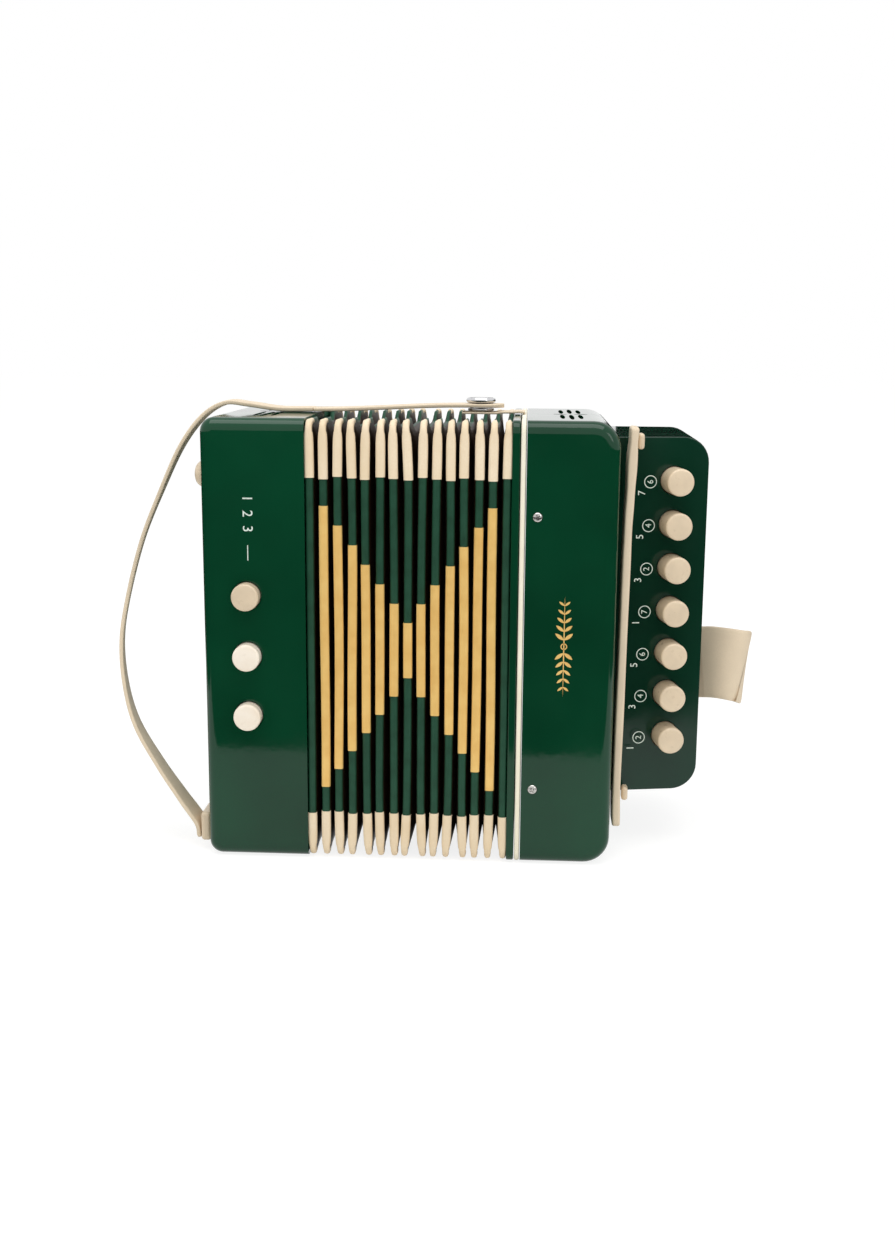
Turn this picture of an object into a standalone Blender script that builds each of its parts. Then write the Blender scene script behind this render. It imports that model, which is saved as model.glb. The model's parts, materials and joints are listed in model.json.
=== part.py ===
"""Children's button accordion, seven treble buttons and three bass buttons, standing on its cases.

Metres, +Z up. X runs from the bass case to the keyboard and the buttons face -Y. The origin is the
middle of the treble case's foot, on the surface that both cases stand on.
"""

import math

import bmesh
import bpy
from mathutils import Matrix, Vector

# Cases
CASE_HEIGHT = 0.176
CASE_DEPTH = 0.098
CASE_WALL = 0.0025
BASS_WIDTH = 0.0408
TREBLE_WIDTH = 0.0357
BASS_CORNER = 0.0055
TREBLE_CORNER = 0.0105
CASE_EDGE = 0.0045
GAP = 0.0003

# Sound holes in the cases' tops
PETAL_SPACING = 0.0036
PETAL_LENGTH = 0.0330
PETAL_START = 0.0040
PETAL_HALF = 0.0010
BASS_FLOWER = 0.54
TREBLE_FLOWER = 0.486

# Bellows
BELLOWS_RIDGES = 15
RIDGE_PITCH = 0.00545
RIDGE_FLAT = 0.0022
END_CREASE = 0.0027
FOLD_DEPTH = 0.0105
BELLOWS_SKIN = 0.0018
BELLOWS_INSET = 0.0006
CORNER_CHAMFER = 0.0035
CORNER_CAP = 0.0235
TOP_RECESS = 0.0040
BOTTOM_RECESS = 0.0068
FRAME_WIDTH = 0.0030
FRAME_BORDER = 0.0070
PIPING_WIDTH = 0.0020

# Keyboard
KEYBOARD_WIDTH = 0.03845
KEYBOARD_TOP = 0.171
KEYBOARD_BOTTOM = 0.0215
KEYBOARD_CORNER = 0.0125
KEYBOARD_EDGE = 0.0014
KEYBOARD_WALL = 0.0022
KEYBOARD_BACK = 0.0450
PANEL_SETBACK = 0.0215
WINDOW_DEPTH = 0.0220
WINDOW_MARGIN = 0.0200
PANEL_LEAN = math.radians(10.4)

# Buttons
CAP_RADIUS = 0.0054
CAP_PLAY = 0.0004
CAP_SKIRT = 0.0030
STEM_RADIUS = 0.0016
TREBLE_COUNT = 7
TREBLE_PITCH = 0.01742
TREBLE_FIRST = 0.0471
TREBLE_INSET = 0.0233
TREBLE_RISE = 0.0080
BASS_COUNT = 3
BASS_PITCH = 0.02405
BASS_FIRST = 0.0589
BASS_INSET = 0.0177
BASS_RISE = 0.0048

# Valves behind the buttons
BOARD_SETBACK = 0.0160
BOARD_THICKNESS = 0.0030
VALVE_HOLE = 0.0027
PALLET_RADIUS = 0.0050
PALLET_THICKNESS = 0.0024
SPRING_RADIUS = 0.0034
SPRING_WIRE = 0.0004
SPRING_TURNS = 4

# Reeds
REED_BOARD = 0.0030
REED_SETBACK = 0.0075
REED_PLATE = 0.0010
REED_PLATE_WIDTH = 0.050
REED_SLOT = 0.0022
REED_MARGIN = 0.0200

# Straps
STRAP_WIDTH = 0.0130
STRAP_THICKNESS = 0.0018
HAND_STRAP_REACH = 0.0428
HAND_STRAP_LOW = 0.0105
HAND_STRAP_FOOT_Y = -0.0350
HAND_STRAP_LEAN = math.radians(12.5)
HAND_PAD = 0.0041
SIDE_STUD_Y = -0.0380
SIDE_STUD_DROP = 0.0225
CLOSURE_LAP = 0.0022
CLOSURE_BOW = 0.0022
LOWEST = 0.0004
CLOSURE_WIDTH = 0.0125
CLOSURE_THICKNESS = 0.0016
SNAP_RADIUS = 0.0060
SNAP_HEIGHT = 0.0022
STUD_HEIGHT = 0.0010
TAB_THICKNESS = 0.0010
SNAP_FROM_FRAME = 0.0137
STUD_LAND = 0.0060
TONGUE = 0.0095
EDGE_STRAP_THICKNESS = 0.0034
EDGE_STRAP_WIDTH = 0.0140
EDGE_STRAP_DROP = 0.0067
EDGE_STRAP_RISE = 0.0015
THUMB_WIDTH = 0.0300
THUMB_REACH = 0.0180
THUMB_DEPTH = 0.0260
THUMB_THICKNESS = 0.0020
THUMB_CENTRE = 0.0747
THUMB_DROP = 0.0050
THUMB_FLAT = 0.2
THUMB_LEAN = math.radians(5.4)
SCREW_RADIUS = 0.0019
SCREW_SHANK = 0.0010
SCREW_INSET = 0.0045
SCREW_DROP = 0.0365
SCREW_FOOT = 0.0310

# Places worked out from the sizes above
HALF_DEPTH = CASE_DEPTH / 2
BELLOWS_LENGTH = BELLOWS_RIDGES * RIDGE_PITCH - END_CREASE
TREBLE_LEFT = -TREBLE_WIDTH / 2
TREBLE_RIGHT = TREBLE_WIDTH / 2
PIPING_LEFT = TREBLE_LEFT - GAP - PIPING_WIDTH
FRAME_LEFT = PIPING_LEFT - GAP - FRAME_WIDTH
BELLOWS_END = FRAME_LEFT - GAP
BELLOWS_START = BELLOWS_END - BELLOWS_LENGTH
BASS_RIGHT = BELLOWS_START - GAP
BASS_LEFT = BASS_RIGHT - BASS_WIDTH
KEYBOARD_LEFT = TREBLE_RIGHT + GAP
KEYBOARD_RIGHT = KEYBOARD_LEFT + KEYBOARD_WIDTH
PANEL_Y = -HALF_DEPTH + PANEL_SETBACK
PANEL_NORMAL = Vector((math.sin(PANEL_LEAN), -math.cos(PANEL_LEAN), 0.0))
PANEL_ACROSS = Vector((math.cos(PANEL_LEAN), math.sin(PANEL_LEAN), 0.0))
PANEL_CORNER = Vector((KEYBOARD_LEFT, PANEL_Y, 0.0))
SNAP_X = FRAME_LEFT - SNAP_FROM_FRAME
UP = Vector((0.0, 0.0, 1.0))

PARTS = "toy_accordion"
CUTTERS = "cutters"


def clear_scene():
    for obj in list(bpy.data.objects):
        bpy.data.objects.remove(obj, do_unlink=True)


def collection(name):
    made = bpy.data.collections.get(name)
    if made is None:
        made = bpy.data.collections.new(name)
        bpy.context.scene.collection.children.link(made)
    return made


def material(name, colour, roughness, metallic=0.0):
    """A Principled material from an sRGB colour of three values from 0 to 255."""
    made = bpy.data.materials.get(name)
    if made:
        return made
    made = bpy.data.materials.new(name)
    made.use_nodes = True
    shader = made.node_tree.nodes["Principled BSDF"]
    linear = [(value / 255) ** 2.2 for value in colour]
    shader.inputs["Base Color"].default_value = (*linear, 1.0)
    shader.inputs["Roughness"].default_value = roughness
    shader.inputs["Metallic"].default_value = metallic
    return made


def green_lacquer():
    return material("green_lacquer", (16, 66, 44), 0.08)


def dark_lacquer():
    return material("dark_green_lacquer", (20, 48, 38), 0.10)


def cream_plastic():
    return material("cream_plastic", (222, 204, 178), 0.30)


def white_plastic():
    return material("white_plastic", (250, 240, 224), 0.28)


def cream_leather():
    return material("cream_leather", (229, 210, 184), 0.55)


def chrome():
    return material("chrome", (205, 205, 208), 0.10, 1.0)


def birch_board():
    return material("birch_board", (205, 175, 130), 0.60)


def reed_brass():
    return material("reed_brass", (190, 150, 80), 0.30, 1.0)


def felt():
    return material("pallet_felt", (120, 40, 36), 0.95)


def bellows_card():
    return material("bellows_card", (31, 74, 53), 0.35)


def add_object(name, bm, look, group=PARTS):
    """A named object from a bmesh, at the world's origin."""
    bmesh.ops.recalc_face_normals(bm, faces=bm.faces[:])
    mesh = bpy.data.meshes.new(name)
    bm.to_mesh(mesh)
    bm.free()
    if look:
        mesh.materials.append(look)
    mesh.shade_smooth()
    mesh.set_sharp_from_angle(angle=math.radians(35))
    obj = bpy.data.objects.new(name, mesh)
    collection(group).objects.link(obj)
    if group == CUTTERS:
        obj.hide_render = True
        obj.display_type = "WIRE"
    return obj


def boolean(obj, other, operation="DIFFERENCE"):
    step = obj.modifiers.new(operation.title() + " " + other.name, "BOOLEAN")
    step.operation = operation
    step.solver = "EXACT"
    step.object = other


def box(bm, low, high):
    """A cuboid between two corners."""
    low, high = Vector(low), Vector(high)
    size = high - low
    place = Matrix.Translation((low + high) / 2) @ Matrix.Diagonal((*size, 1.0))
    bmesh.ops.create_cube(bm, size=1.0, matrix=place)


def rod(bm, start, direction, length, radius, sides):
    """A cylinder from a start point along a direction."""
    direction = Vector(direction).normalized()
    turn = direction.to_track_quat("Z", "Y").to_matrix().to_4x4()
    place = Matrix.Translation(Vector(start) + direction * length / 2) @ turn
    bmesh.ops.create_cone(
        bm, cap_ends=True, segments=sides, radius1=radius, radius2=radius, depth=length,
        matrix=place,
    )


def turned(name, profile, start, direction, look, sides=20, group=PARTS):
    """A turned piece: (height, radius) points along an axis, from its first end to its last."""
    bm = bmesh.new()
    direction = Vector(direction).normalized()
    turn = direction.to_track_quat("Z", "Y").to_matrix().to_4x4()
    place = Matrix.Translation(Vector(start)) @ turn
    rings = []
    for height, radius in profile:
        ring = []
        for i in range(sides):
            angle = math.tau * i / sides
            spot = Vector((radius * math.cos(angle), radius * math.sin(angle), height))
            ring.append(bm.verts.new(place @ spot))
        rings.append(ring)
    close_rings(bm, rings)
    return add_object(name, bm, look, group)


def close_rings(bm, rings):
    """Skins a list of rings of equal count and caps both ends."""
    for first, second in zip(rings, rings[1:]):
        count = len(first)
        for i in range(count):
            j = (i + 1) % count
            bm.faces.new((first[i], first[j], second[j], second[i]))
    bm.faces.new(rings[0])
    bm.faces.new(list(reversed(rings[-1])))


def arc(centre, radius, start, end, steps):
    """Points round a corner, with the angles in degrees."""
    points = []
    for i in range(steps + 1):
        angle = math.radians(start + (end - start) * i / steps)
        points.append((centre[0] + radius * math.cos(angle), centre[1] + radius * math.sin(angle)))
    return points


def case_outline(left, right, low, high, left_corner, right_corner):
    """An upright outline in X and Z, whose left and right corners are rounded or square."""
    points = []
    corners = (
        (right - right_corner, high - right_corner, right_corner, 0),
        (left + left_corner, high - left_corner, left_corner, 90),
        (left + left_corner, low + left_corner, left_corner, 180),
        (right - right_corner, low + right_corner, right_corner, 270),
    )
    for x, z, radius, start in corners:
        if radius > 0:
            points += arc((x, z), radius, start, start + 90, 6)
        else:
            points.append((x, z))
    return points


def upright_body(name, outline, front, back, edge, look, open_x=None, group=PARTS):
    """A block from an X and Z outline between two faces y = front(x) and y = back(x), with its front
    and back edges rounded except along the open side."""
    bm = bmesh.new()
    rings = [[bm.verts.new((x, face(x), z)) for x, z in outline] for face in (front, back)]
    close_rings(bm, rings)
    bmesh.ops.recalc_face_normals(bm, faces=bm.faces[:])
    if edge > 0:
        rims = []
        for ring in rings:
            corners = set(ring)
            for line in bm.edges:
                if line.verts[0] in corners and line.verts[1] in corners:
                    if open_x is None or any(abs(v.co.x - open_x) > 1e-6 for v in line.verts):
                        rims.append(line)
        bmesh.ops.bevel(bm, geom=rims, offset=edge, segments=3, profile=0.5, affect="EDGES")
    return add_object(name, bm, look, group)


def flat(y):
    return lambda x: y


def case_shell(name, closed_x, open_x, corner, look):
    """A case that is open towards the bellows."""
    left, right = min(closed_x, open_x), max(closed_x, open_x)
    left_corner, right_corner = (corner, 0) if closed_x < open_x else (0, corner)
    outer = case_outline(left, right, 0.0, CASE_HEIGHT, left_corner, right_corner)
    shell = upright_body(
        name, outer, flat(-HALF_DEPTH), flat(HALF_DEPTH), CASE_EDGE, look, open_x
    )
    reach = 0.002 if open_x > closed_x else -0.002
    inner_open = open_x + reach
    inner_closed = closed_x + (CASE_WALL if open_x > closed_x else -CASE_WALL)
    left, right = min(inner_closed, inner_open), max(inner_closed, inner_open)
    inset = max(corner - CASE_WALL, 0.001)
    left_corner, right_corner = (inset, 0) if closed_x < open_x else (0, inset)
    inner = case_outline(
        left, right, CASE_WALL, CASE_HEIGHT - CASE_WALL, left_corner, right_corner
    )
    hollow = upright_body(
        name + "_hollow", inner, flat(-HALF_DEPTH + CASE_WALL), flat(HALF_DEPTH - CASE_WALL),
        CASE_EDGE - CASE_WALL, None, inner_open, CUTTERS,
    )
    boolean(shell, hollow)
    return shell


def sound_holes(name, centre_x):
    """Eight slots in a flower that is long from front to back, through the top wall."""
    bm = bmesh.new()
    for column in (-1, 0, 1):
        length = PETAL_LENGTH if column == 0 else PETAL_LENGTH * 0.86
        for side in (-1, 1):
            centre_y = side * (PETAL_START + length / 2)
            slot(bm, (centre_x + column * PETAL_SPACING, centre_y), PETAL_HALF, length / 2)
    for side in (-1, 1):
        slot(bm, (centre_x + side * PETAL_SPACING * 1.17, 0.0), PETAL_START * 0.7,
             PETAL_START * 0.4)
    return add_object(name, bm, None, CUTTERS)


def slot(bm, centre, half_x, half_y):
    """An upright oval cutter through the top wall."""
    place = Matrix.Translation((centre[0], centre[1], CASE_HEIGHT - CASE_WALL / 2))
    place = place @ Matrix.Diagonal((half_x, half_y, 1.0, 1.0))
    bmesh.ops.create_cone(
        bm, cap_ends=True, segments=10, radius1=1.0, radius2=1.0, depth=CASE_WALL * 2,
        matrix=place,
    )


def depth_outline(inset, edge):
    """A rounded outline in Y and Z, the cross-section that the cases share."""
    half, low, high = HALF_DEPTH - inset, inset, CASE_HEIGHT - inset
    radius = max(edge - inset, 0.0005)
    points = arc((half - radius, high - radius), radius, 0, 90, 3)
    points += arc((-half + radius, high - radius), radius, 90, 180, 3)
    points += arc((-half + radius, low + radius), radius, 180, 270, 3)
    points += arc((half - radius, low + radius), radius, 270, 360, 3)
    return points


def ring_plate(name, left, right, outer, inner, look):
    """A ring between two X planes: an outer and an inner outline of equal count in Y and Z."""
    bm = bmesh.new()
    loops = []
    for x, outline in ((left, inner), (left, outer), (right, outer), (right, inner)):
        loops.append([bm.verts.new((x, y, z)) for y, z in outline])
    loops.append(loops[0])
    for first, second in zip(loops, loops[1:]):
        count = len(first)
        for i in range(count):
            j = (i + 1) % count
            bm.faces.new((first[i], first[j], second[j], second[i]))
    return add_object(name, bm, look)


def fold_outline(inset, top_recess, bottom_recess):
    """The bellows' cross-section: chamfered corners, drawn in between the corner caps top and bottom."""
    half = HALF_DEPTH - BELLOWS_INSET - inset
    low = BELLOWS_INSET + inset
    high = CASE_HEIGHT - BELLOWS_INSET - inset
    chamfer = CORNER_CHAMFER
    cap = half - CORNER_CAP
    slope = cap - 0.003
    return [
        (half, low + chamfer), (half, high - chamfer),
        (half - chamfer, high), (cap, high), (slope, high - top_recess),
        (-slope, high - top_recess), (-cap, high), (-half + chamfer, high),
        (-half, high - chamfer), (-half, low + chamfer),
        (-half + chamfer, low), (-cap, low), (-slope, low + bottom_recess),
        (slope, low + bottom_recess), (cap, low), (half - chamfer, low),
    ]


def make_bellows():
    """A pleated tube: each ridge is a narrow flat band and each valley a crease."""
    stations = []
    for i in range(BELLOWS_RIDGES):
        left = BELLOWS_START + i * RIDGE_PITCH + (RIDGE_PITCH - END_CREASE - RIDGE_FLAT) / 2
        stations.append((left, 0.0))
        stations.append((left + RIDGE_FLAT, 0.0))
        if i < BELLOWS_RIDGES - 1:
            stations.append((left + (RIDGE_PITCH + RIDGE_FLAT) / 2, FOLD_DEPTH))
    stations[0] = (BELLOWS_START, 0.0)
    stations[-1] = (BELLOWS_END, 0.0)
    bm = bmesh.new()
    loops = []
    for skin in (0.0, BELLOWS_SKIN):
        line = stations if skin == 0.0 else reversed(stations)
        for x, depth in line:
            drawn = (TOP_RECESS, BOTTOM_RECESS) if depth == 0.0 else (0.0, 0.0)
            outline = fold_outline(depth + skin, *drawn)
            loops.append([bm.verts.new((x, y, z)) for y, z in outline])
    loops.append(loops[0])
    for first, second in zip(loops, loops[1:]):
        count = len(first)
        for i in range(count):
            j = (i + 1) % count
            bm.faces.new((first[i], first[j], second[j], second[i]))
    return add_object("bellows", bm, bellows_card())


def make_cases():
    bass = case_shell("bass_case", BASS_LEFT, BASS_RIGHT, BASS_CORNER, green_lacquer())
    treble = case_shell("treble_case", TREBLE_RIGHT, TREBLE_LEFT, TREBLE_CORNER, green_lacquer())
    boolean(bass, sound_holes("bass_sound_holes", BASS_LEFT + BASS_WIDTH * BASS_FLOWER))
    boolean(treble, sound_holes("treble_sound_holes", TREBLE_LEFT + TREBLE_WIDTH * TREBLE_FLOWER))
    bores = bmesh.new()
    for z in bass_heights():
        rod(bores, (BASS_LEFT + BASS_INSET, -HALF_DEPTH - 0.002, z), (0, 1, 0), 0.008,
            CAP_RADIUS + CAP_PLAY, 20)
    boolean(bass, add_object("bass_bores", bores, None, CUTTERS))
    window = bmesh.new()
    box(window, (TREBLE_RIGHT - 2 * CASE_WALL, 0.0, KEYBOARD_BOTTOM + WINDOW_MARGIN),
        (TREBLE_RIGHT + CASE_WALL, WINDOW_DEPTH, KEYBOARD_TOP - WINDOW_MARGIN))
    boolean(treble, add_object("treble_air_window", window, None, CUTTERS))
    for i, z in enumerate((CASE_HEIGHT - SCREW_DROP, SCREW_FOOT)):
        spot = (TREBLE_LEFT + SCREW_INSET, -HALF_DEPTH, z)
        head, shank = SCREW_RADIUS + GAP, SCREW_SHANK + GAP
        profile = [(-0.001, head), (0.0010, head), (0.0010, shank), (0.0050, shank)]
        seat = turned(f"screw_seat_{i + 1}", profile, spot, (0, 1, 0), None, 14, CUTTERS)
        boolean(treble, seat)
        profile = [
            (-0.0009, SCREW_RADIUS * 0.4), (-0.0006, SCREW_RADIUS * 0.8), (0.0, SCREW_RADIUS),
            (0.0007, SCREW_RADIUS), (0.0007, SCREW_SHANK), (0.0060, SCREW_SHANK),
        ]
        turned(f"case_screw_{i + 1}", profile, spot, (0, 1, 0), chrome(), 14)


def bass_heights():
    return [BASS_FIRST + i * BASS_PITCH for i in range(BASS_COUNT)]


def treble_heights():
    return [TREBLE_FIRST + i * TREBLE_PITCH for i in range(TREBLE_COUNT)]


def make_frames():
    rim = depth_outline(0.0, CASE_EDGE)
    bore = depth_outline(FRAME_BORDER, CASE_EDGE)
    ring_plate("treble_bellows_frame", FRAME_LEFT, FRAME_LEFT + FRAME_WIDTH, rim, bore,
               green_lacquer())
    ring_plate("treble_piping", PIPING_LEFT, PIPING_LEFT + PIPING_WIDTH, rim,
               depth_outline(CASE_WALL + 0.001, CASE_EDGE), cream_leather())
    seat = depth_outline(CASE_WALL + GAP, CASE_EDGE)
    ring_plate("bass_bellows_frame", BASS_RIGHT - FRAME_WIDTH, BASS_RIGHT, seat, bore,
               dark_lacquer())


def reed_set(side, left, facing, count):
    """A reed board across a case and its plate of paired reed slots."""
    board = bmesh.new()
    outline = depth_outline(CASE_WALL + GAP, CASE_EDGE)
    close_rings(board, [[board.verts.new((x, y, z)) for y, z in outline]
                        for x in (left, left + REED_BOARD)])
    board = add_object(f"{side}_reed_board", board, birch_board())
    half = REED_PLATE_WIDTH / 2
    low, high = REED_MARGIN, CASE_HEIGHT - REED_MARGIN
    face = left + REED_BOARD + GAP if facing > 0 else left - GAP - REED_PLATE
    plate = bmesh.new()
    box(plate, (face, -half, low), (face + REED_PLATE, half, high))
    plate = add_object(f"{side}_reed_plate", plate, reed_brass())
    slots, holes = bmesh.new(), bmesh.new()
    spacing = (high - low) / count
    for i in range(count):
        z = low + spacing * (i + 0.5)
        for row in (-1, 1):
            y = row * half / 2
            length = half * (0.74 - 0.3 * i / count)
            box(slots, (face - 0.002, y - length / 2, z - REED_SLOT / 2),
                (face + REED_PLATE + 0.002, y + length / 2, z + REED_SLOT / 2))
            box(holes, (left - 0.002, y - length / 2 - 0.001, z - REED_SLOT),
                (left + REED_BOARD + 0.002, y + length / 2 + 0.001, z + REED_SLOT))
    boolean(plate, add_object(f"{side}_reed_slots", slots, None, CUTTERS))
    boolean(board, add_object(f"{side}_reed_holes", holes, None, CUTTERS))


def panel_face(offset):
    """y of the leaning panel's plane at x, offset inwards along its normal."""
    def face(x):
        return PANEL_Y + (x - KEYBOARD_LEFT) * math.tan(PANEL_LEAN) + offset / math.cos(PANEL_LEAN)
    return face


def on_panel(across, height, rise=0.0):
    """A point over the panel, from its distance across and its height."""
    return PANEL_CORNER + PANEL_ACROSS * across + PANEL_NORMAL * rise + UP * height


def make_keyboard():
    outer = case_outline(
        KEYBOARD_LEFT, KEYBOARD_RIGHT, KEYBOARD_BOTTOM, KEYBOARD_TOP, 0, KEYBOARD_CORNER
    )
    housing = upright_body(
        "keyboard_housing", outer, panel_face(0.0), flat(KEYBOARD_BACK), KEYBOARD_EDGE,
        dark_lacquer(), KEYBOARD_LEFT,
    )
    wall = KEYBOARD_WALL
    inner = case_outline(
        KEYBOARD_LEFT - 0.002, KEYBOARD_RIGHT - wall, KEYBOARD_BOTTOM + wall,
        KEYBOARD_TOP - wall, 0, KEYBOARD_CORNER - wall,
    )
    hollow = upright_body(
        "keyboard_hollow", inner, panel_face(wall), flat(KEYBOARD_BACK - wall), 0, None,
        None, CUTTERS,
    )
    boolean(housing, hollow)
    bores = bmesh.new()
    for z in treble_heights():
        rod(bores, on_panel(TREBLE_INSET, z, 0.004), -PANEL_NORMAL, 0.010,
            CAP_RADIUS + CAP_PLAY, 20)
    boolean(housing, add_object("treble_bores", bores, None, CUTTERS))


def valve_board(name, low, high, corners, look, holes):
    """A board with a hole behind each button: corners are its X and Y outline."""
    bm = bmesh.new()
    rings = [[bm.verts.new((x, y, z)) for x, y in corners] for z in (low, high)]
    close_rings(bm, rings)
    board = add_object(name, bm, look)
    cutter = bmesh.new()
    for centre, direction in holes:
        rod(cutter, centre - direction * 0.006, direction, 0.012, VALVE_HOLE, 14)
    boolean(board, add_object(name + "_holes", cutter, None, CUTTERS))


def make_valve_boards():
    inset = KEYBOARD_WALL + GAP
    corners = []
    for x, offset in (
        (KEYBOARD_LEFT, BOARD_SETBACK), (KEYBOARD_RIGHT - inset, BOARD_SETBACK),
        (KEYBOARD_RIGHT - inset, BOARD_SETBACK + BOARD_THICKNESS),
        (KEYBOARD_LEFT, BOARD_SETBACK + BOARD_THICKNESS),
    ):
        corners.append((x, panel_face(offset)(x)))
    middle = BOARD_SETBACK + BOARD_THICKNESS / 2
    holes = [(on_panel(TREBLE_INSET, z, -middle), -PANEL_NORMAL) for z in treble_heights()]
    valve_board("treble_valve_board", KEYBOARD_BOTTOM + KEYBOARD_CORNER,
                KEYBOARD_TOP - KEYBOARD_CORNER, corners, birch_board(), holes)
    left, right = BASS_LEFT + CASE_WALL + GAP, bass_reed_left() - GAP
    front = -HALF_DEPTH + BOARD_SETBACK
    corners = [(left, front), (right, front), (right, front + BOARD_THICKNESS),
               (left, front + BOARD_THICKNESS)]
    holes = [(Vector((BASS_LEFT + BASS_INSET, front + BOARD_THICKNESS / 2, z)), Vector((0, 1, 0)))
             for z in bass_heights()]
    inset = CASE_WALL + GAP
    valve_board("bass_valve_board", inset + BASS_CORNER, CASE_HEIGHT - inset - BASS_CORNER,
                corners, birch_board(), holes)


def bass_reed_left():
    return BASS_RIGHT - FRAME_WIDTH - GAP - REED_BOARD


def make_button(side, number, face, inward, rise, look):
    """A button and its stem, the pallet that the stem carries and the spring under the cap."""
    top = face - inward * rise
    skirt = rise + CAP_SKIRT
    board_front = BOARD_SETBACK + rise
    tail = board_front + BOARD_THICKNESS + GAP
    rim = 0.0008
    profile = [
        (0.0, CAP_RADIUS - rim), (rim * 0.4, CAP_RADIUS - rim * 0.3), (rim, CAP_RADIUS),
        (skirt, CAP_RADIUS), (skirt, STEM_RADIUS), (tail + PALLET_THICKNESS + GAP * 4, STEM_RADIUS),
    ]
    turned(f"{side}_button_{number}", profile, top, inward, look)
    bm = bmesh.new()
    bore = STEM_RADIUS + GAP
    heights = (tail, tail + PALLET_THICKNESS)
    turn = inward.to_track_quat("Z", "Y").to_matrix().to_4x4()
    place = Matrix.Translation(top) @ turn
    loops = []
    for height, radius in (
        (heights[0], bore), (heights[0], PALLET_RADIUS), (heights[1], PALLET_RADIUS),
        (heights[1], bore),
    ):
        loop = []
        for i in range(16):
            angle = math.tau * i / 16
            spot = Vector((radius * math.cos(angle), radius * math.sin(angle), height))
            loop.append(bm.verts.new(place @ spot))
        loops.append(loop)
    loops.append(loops[0])
    for first, second in zip(loops, loops[1:]):
        for i in range(16):
            j = (i + 1) % 16
            bm.faces.new((first[i], first[j], second[j], second[i]))
    add_object(f"{side}_pallet_{number}", bm, felt())
    spring(f"{side}_spring_{number}", top + inward * (skirt + GAP), inward,
           board_front - skirt - 2 * GAP)


def spring(name, start, direction, length):
    """An open coil between the cap and the valve board, one unbroken wire."""
    turn = direction.to_track_quat("Z", "Y").to_matrix().to_4x4()
    place = Matrix.Translation(start) @ turn
    steps = 8 * SPRING_TURNS
    curve = bpy.data.curves.new(name, "CURVE")
    curve.dimensions = "3D"
    curve.bevel_depth = SPRING_WIRE
    curve.bevel_resolution = 0
    curve.use_fill_caps = True
    line = curve.splines.new("POLY")
    line.points.add(steps)
    for i in range(steps + 1):
        angle = math.tau * i / 8
        height = SPRING_WIRE + (length - 2 * SPRING_WIRE) * i / steps
        spot = Vector((SPRING_RADIUS * math.cos(angle), SPRING_RADIUS * math.sin(angle), height))
        line.points[i].co = (*(place @ spot), 1.0)
    curve.materials.append(chrome())
    obj = bpy.data.objects.new(name, curve)
    collection(PARTS).objects.link(obj)


def make_buttons():
    for i, z in enumerate(treble_heights()):
        make_button("treble", i + 1, on_panel(TREBLE_INSET, z), -PANEL_NORMAL, TREBLE_RISE,
                    cream_plastic())
    for i, z in enumerate(bass_heights()):
        face = Vector((BASS_LEFT + BASS_INSET, -HALF_DEPTH, z))
        make_button("bass", i + 1, face, Vector((0, 1, 0)), BASS_RISE,
                    cream_plastic() if i == BASS_COUNT - 1 else white_plastic())


def smooth_path(points, steps):
    """Points along a smooth curve through the given ones."""
    points = [Vector(p) for p in points]
    ends = [points[0] * 2 - points[1]] + points + [points[-1] * 2 - points[-2]]
    path = []
    for i in range(len(points) - 1):
        a, b, c, d = ends[i : i + 4]
        for k in range(steps):
            t = k / steps
            path.append(0.5 * (2 * b + (c - a) * t + (2 * a - 5 * b + 4 * c - d) * t * t
                               + (3 * b - 3 * c + d - a) * t ** 3))
    path.append(points[-1])
    return path


def ribbon(name, path, across, width, thickness, look):
    """A flat strap with softened edges along a path. across gives its width's direction."""
    bm = bmesh.new()
    rings = []
    soft = thickness * 0.3
    half_w, half_t = width / 2, thickness / 2
    section = [
        (half_w, half_t - soft), (half_w - soft, half_t), (-half_w + soft, half_t),
        (-half_w, half_t - soft), (-half_w, -half_t + soft), (-half_w + soft, -half_t),
        (half_w - soft, -half_t), (half_w, -half_t + soft),
    ]
    for i, spot in enumerate(path):
        before, after = path[max(i - 1, 0)], path[min(i + 1, len(path) - 1)]
        along = (after - before).normalized()
        wide = Vector(across(i / (len(path) - 1)))
        wide = (wide - along * wide.dot(along)).normalized()
        thick = along.cross(wide)
        rings.append([bm.verts.new(spot + wide * w + thick * t) for w, t in section])
    close_rings(bm, rings)
    return add_object(name, bm, look)


def straight_across(share):
    return (0.0, 1.0, 0.0)


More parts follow.
